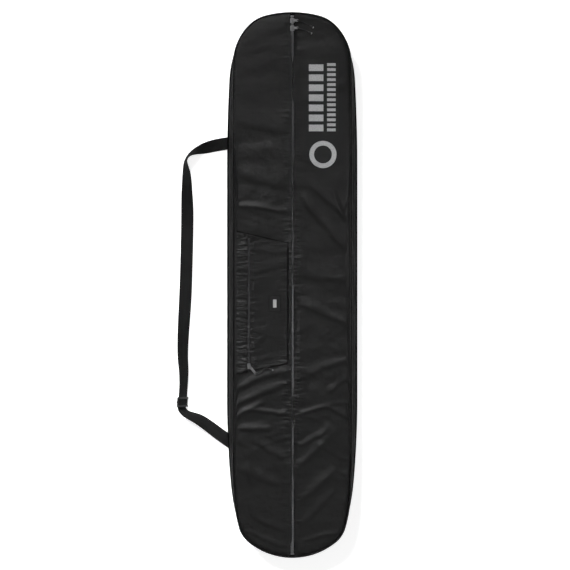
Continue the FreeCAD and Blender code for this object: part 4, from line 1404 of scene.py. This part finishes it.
def sew(name, rows, cloth, pitch=0.0048):
    """One piece of many stitches: each is dropped onto the cloth and turned to lie in it."""
    surface, stitch = surface_of(cloth), stitch_shape()
    bm = bmesh.new()
    for row in rows:
        for spot, run in every(row, pitch):
            hit, normal, _, _ = surface.ray_cast(Vector((*spot, 0.2)), Vector((0, 0, -1)))
            if hit is None:
                continue
            ahead = Vector((*run, 0))
            ahead = (ahead - normal * ahead.dot(normal)).normalized()
            aside = normal.cross(ahead)
            turn = Matrix((ahead, aside, normal)).transposed().to_4x4()
            laid = stitch.copy()
            laid.transform(Matrix.Translation(hit + normal * 0.00012) @ turn)
            bm.from_mesh(laid)
            bpy.data.meshes.remove(laid)
    piece = new_piece(name, bm, THREAD)
    lay_uv(piece, points_of(piece)[:, :2])
    print(name, len(piece.data.polygons), "faces")
    return piece


def beside_zip(side, away, reach=0.800):
    """A line that keeps its distance from the folded edge along the zip."""
    y = np.arange(-reach, reach, 0.01)
    return np.column_stack([side * (zip_edge(y, side) + away), y])


for name, side in SIDES.items():
    rows = [beside_zip(side, 0.0072), side_line(FRONT_HALF, 0.0105)[20:-20] * (side, 1)]
    sewn_ends(sew(f"front_stitches_{name}", rows, front[name]))

# %% Stitch the pocket and the patch
FIRST_ROW, SECOND_ROW = 0.0026, 0.0082
PATCH_SHRINK = 1 - 0.0026 / 0.022


def pocket_rows():
    x = np.linspace(POCKET["left"] + 0.003, POCKET["right"] - 0.003, 30)
    top, bottom = pocket_edges(x)
    rows = [np.column_stack([x, top - away]) for away in (FIRST_ROW, SECOND_ROW)]
    rows += [np.column_stack([x, bottom + away]) for away in (FIRST_ROW, SECOND_ROW)]
    for offset in (-1, 1):
        place = POCKET["zip"] + offset * (ZIP_GAP + STITCHED_AT)
        rows.append(np.array([(place, end) for end in POCKET_ZIP_ENDS]))
    return rows


def patch_ring():
    """The patch's outline, drawn in towards its middle."""
    (left, near, _), (right, far, _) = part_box("label_patch")
    ring = [(left, near), (right, near), (right, far), (left, far), (left, near)]
    middle = np.array([(left + right) / 2, (near + far) / 2])
    return middle + (np.array(ring) - middle) * PATCH_SHRINK


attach(sew("pocket_stitches", pocket_rows(), pocket), "left_flap")
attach(sew("patch_stitches", [patch_ring()], patch, 0.0042), "left_flap")
print("stitches sewn")

# %% [markdown]
# ## Metal and moulded parts
# Sliders, tabs, stops and the strap's adjuster are stiff, and their solids already have the right
# shape. They stay as they are and only change their finish.

# %% Finish the stiff parts
METAL_PARTS = (
    "main_zip_nose_stop", "main_zip_tail_stop", "main_slider_upper", "main_slider_lower",
    "main_pull_upper", "main_pull_lower", "pocket_zip_stop", "pocket_slider", "pocket_pull",
)
for name in METAL_PARTS:
    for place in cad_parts[name].material_slots:
        place.material = NICKEL
for place in adjuster.material_slots:
    place.material = MOULDED_NYLON
print("metal parts", len(METAL_PARTS))

# %% [markdown]
# ## The floor and the light
# The floor is plain and nearly white, and keeps the soft shadow that seats the bag on it. A
# little light added only for the camera lifts it to white. A large lamp beyond the nose skims
# over the folds, and a weak one opposite keeps their far sides readable.

# %% Stage
FLOOR_LIFT, FLOOR_HALF = 0.76, 6
SKY_LIGHT = 0.15


def make_floor():
    bm = bmesh.new()
    bmesh.ops.create_grid(bm, x_segments=1, y_segments=1, size=FLOOR_HALF)
    bmesh.ops.translate(bm, vec=(0, 0, -0.0004), verts=bm.verts)
    mesh = bpy.data.meshes.new("floor")
    bm.to_mesh(mesh)
    bm.free()
    floor = bpy.data.objects.new("floor", mesh)
    scene.collection.objects.link(floor)
    material, tree, shader = new_material("studio floor", 0.9, Base_Color=grey(0.82),
                                          Emission_Color=grey(1))
    rays = add(tree, "ShaderNodeLightPath").outputs
    seen = math_node(tree, "MAXIMUM", rays["Is Camera Ray"], rays["Is Glossy Ray"])
    tree.links.new(math_node(tree, "MULTIPLY", seen, FLOOR_LIFT), shader.inputs["Emission Strength"])
    from_below = add(tree, "ShaderNodeNewGeometry").outputs["Backfacing"]
    tree.links.new(math_node(tree, "SUBTRACT", 1.0, from_below), shader.inputs["Alpha"])
    mesh.materials.append(material)


def lamp(name, place, size, power, aim=(0, 0, 0), spread=180):
    """A round lamp that looks at a point, its beam narrowed to a spread in degrees."""
    light = bpy.data.lights.new(name, "AREA")
    light.shape, light.size, light.energy, light.spread = "DISK", size, power, math.radians(spread)
    holder = bpy.data.objects.new(name, light)
    holder.location = place
    holder.rotation_euler = (Vector(aim) - Vector(place)).to_track_quat("-Z", "Y").to_euler()
    scene.collection.objects.link(holder)


make_floor()
lamp("key", (-3.4, 5.2, 6.0), 2.4, 20, (0, -0.46, 0), 20)
lamp("fill", (2.0, -3.4, 4.2), 2.6, 34)
world = bpy.data.worlds.new("studio")
scene.world = world
world.use_nodes = True
sky = world.node_tree.nodes["Background"].inputs
sky["Color"].default_value = grey(1)
looked_at = add(world.node_tree, "ShaderNodeLightPath").outputs["Is Camera Ray"]
world.node_tree.links.new(math_node(world.node_tree, "MAXIMUM", looked_at, SKY_LIGHT), sky["Strength"])
scene.view_settings.view_transform = "Standard"
print("lamps placed")
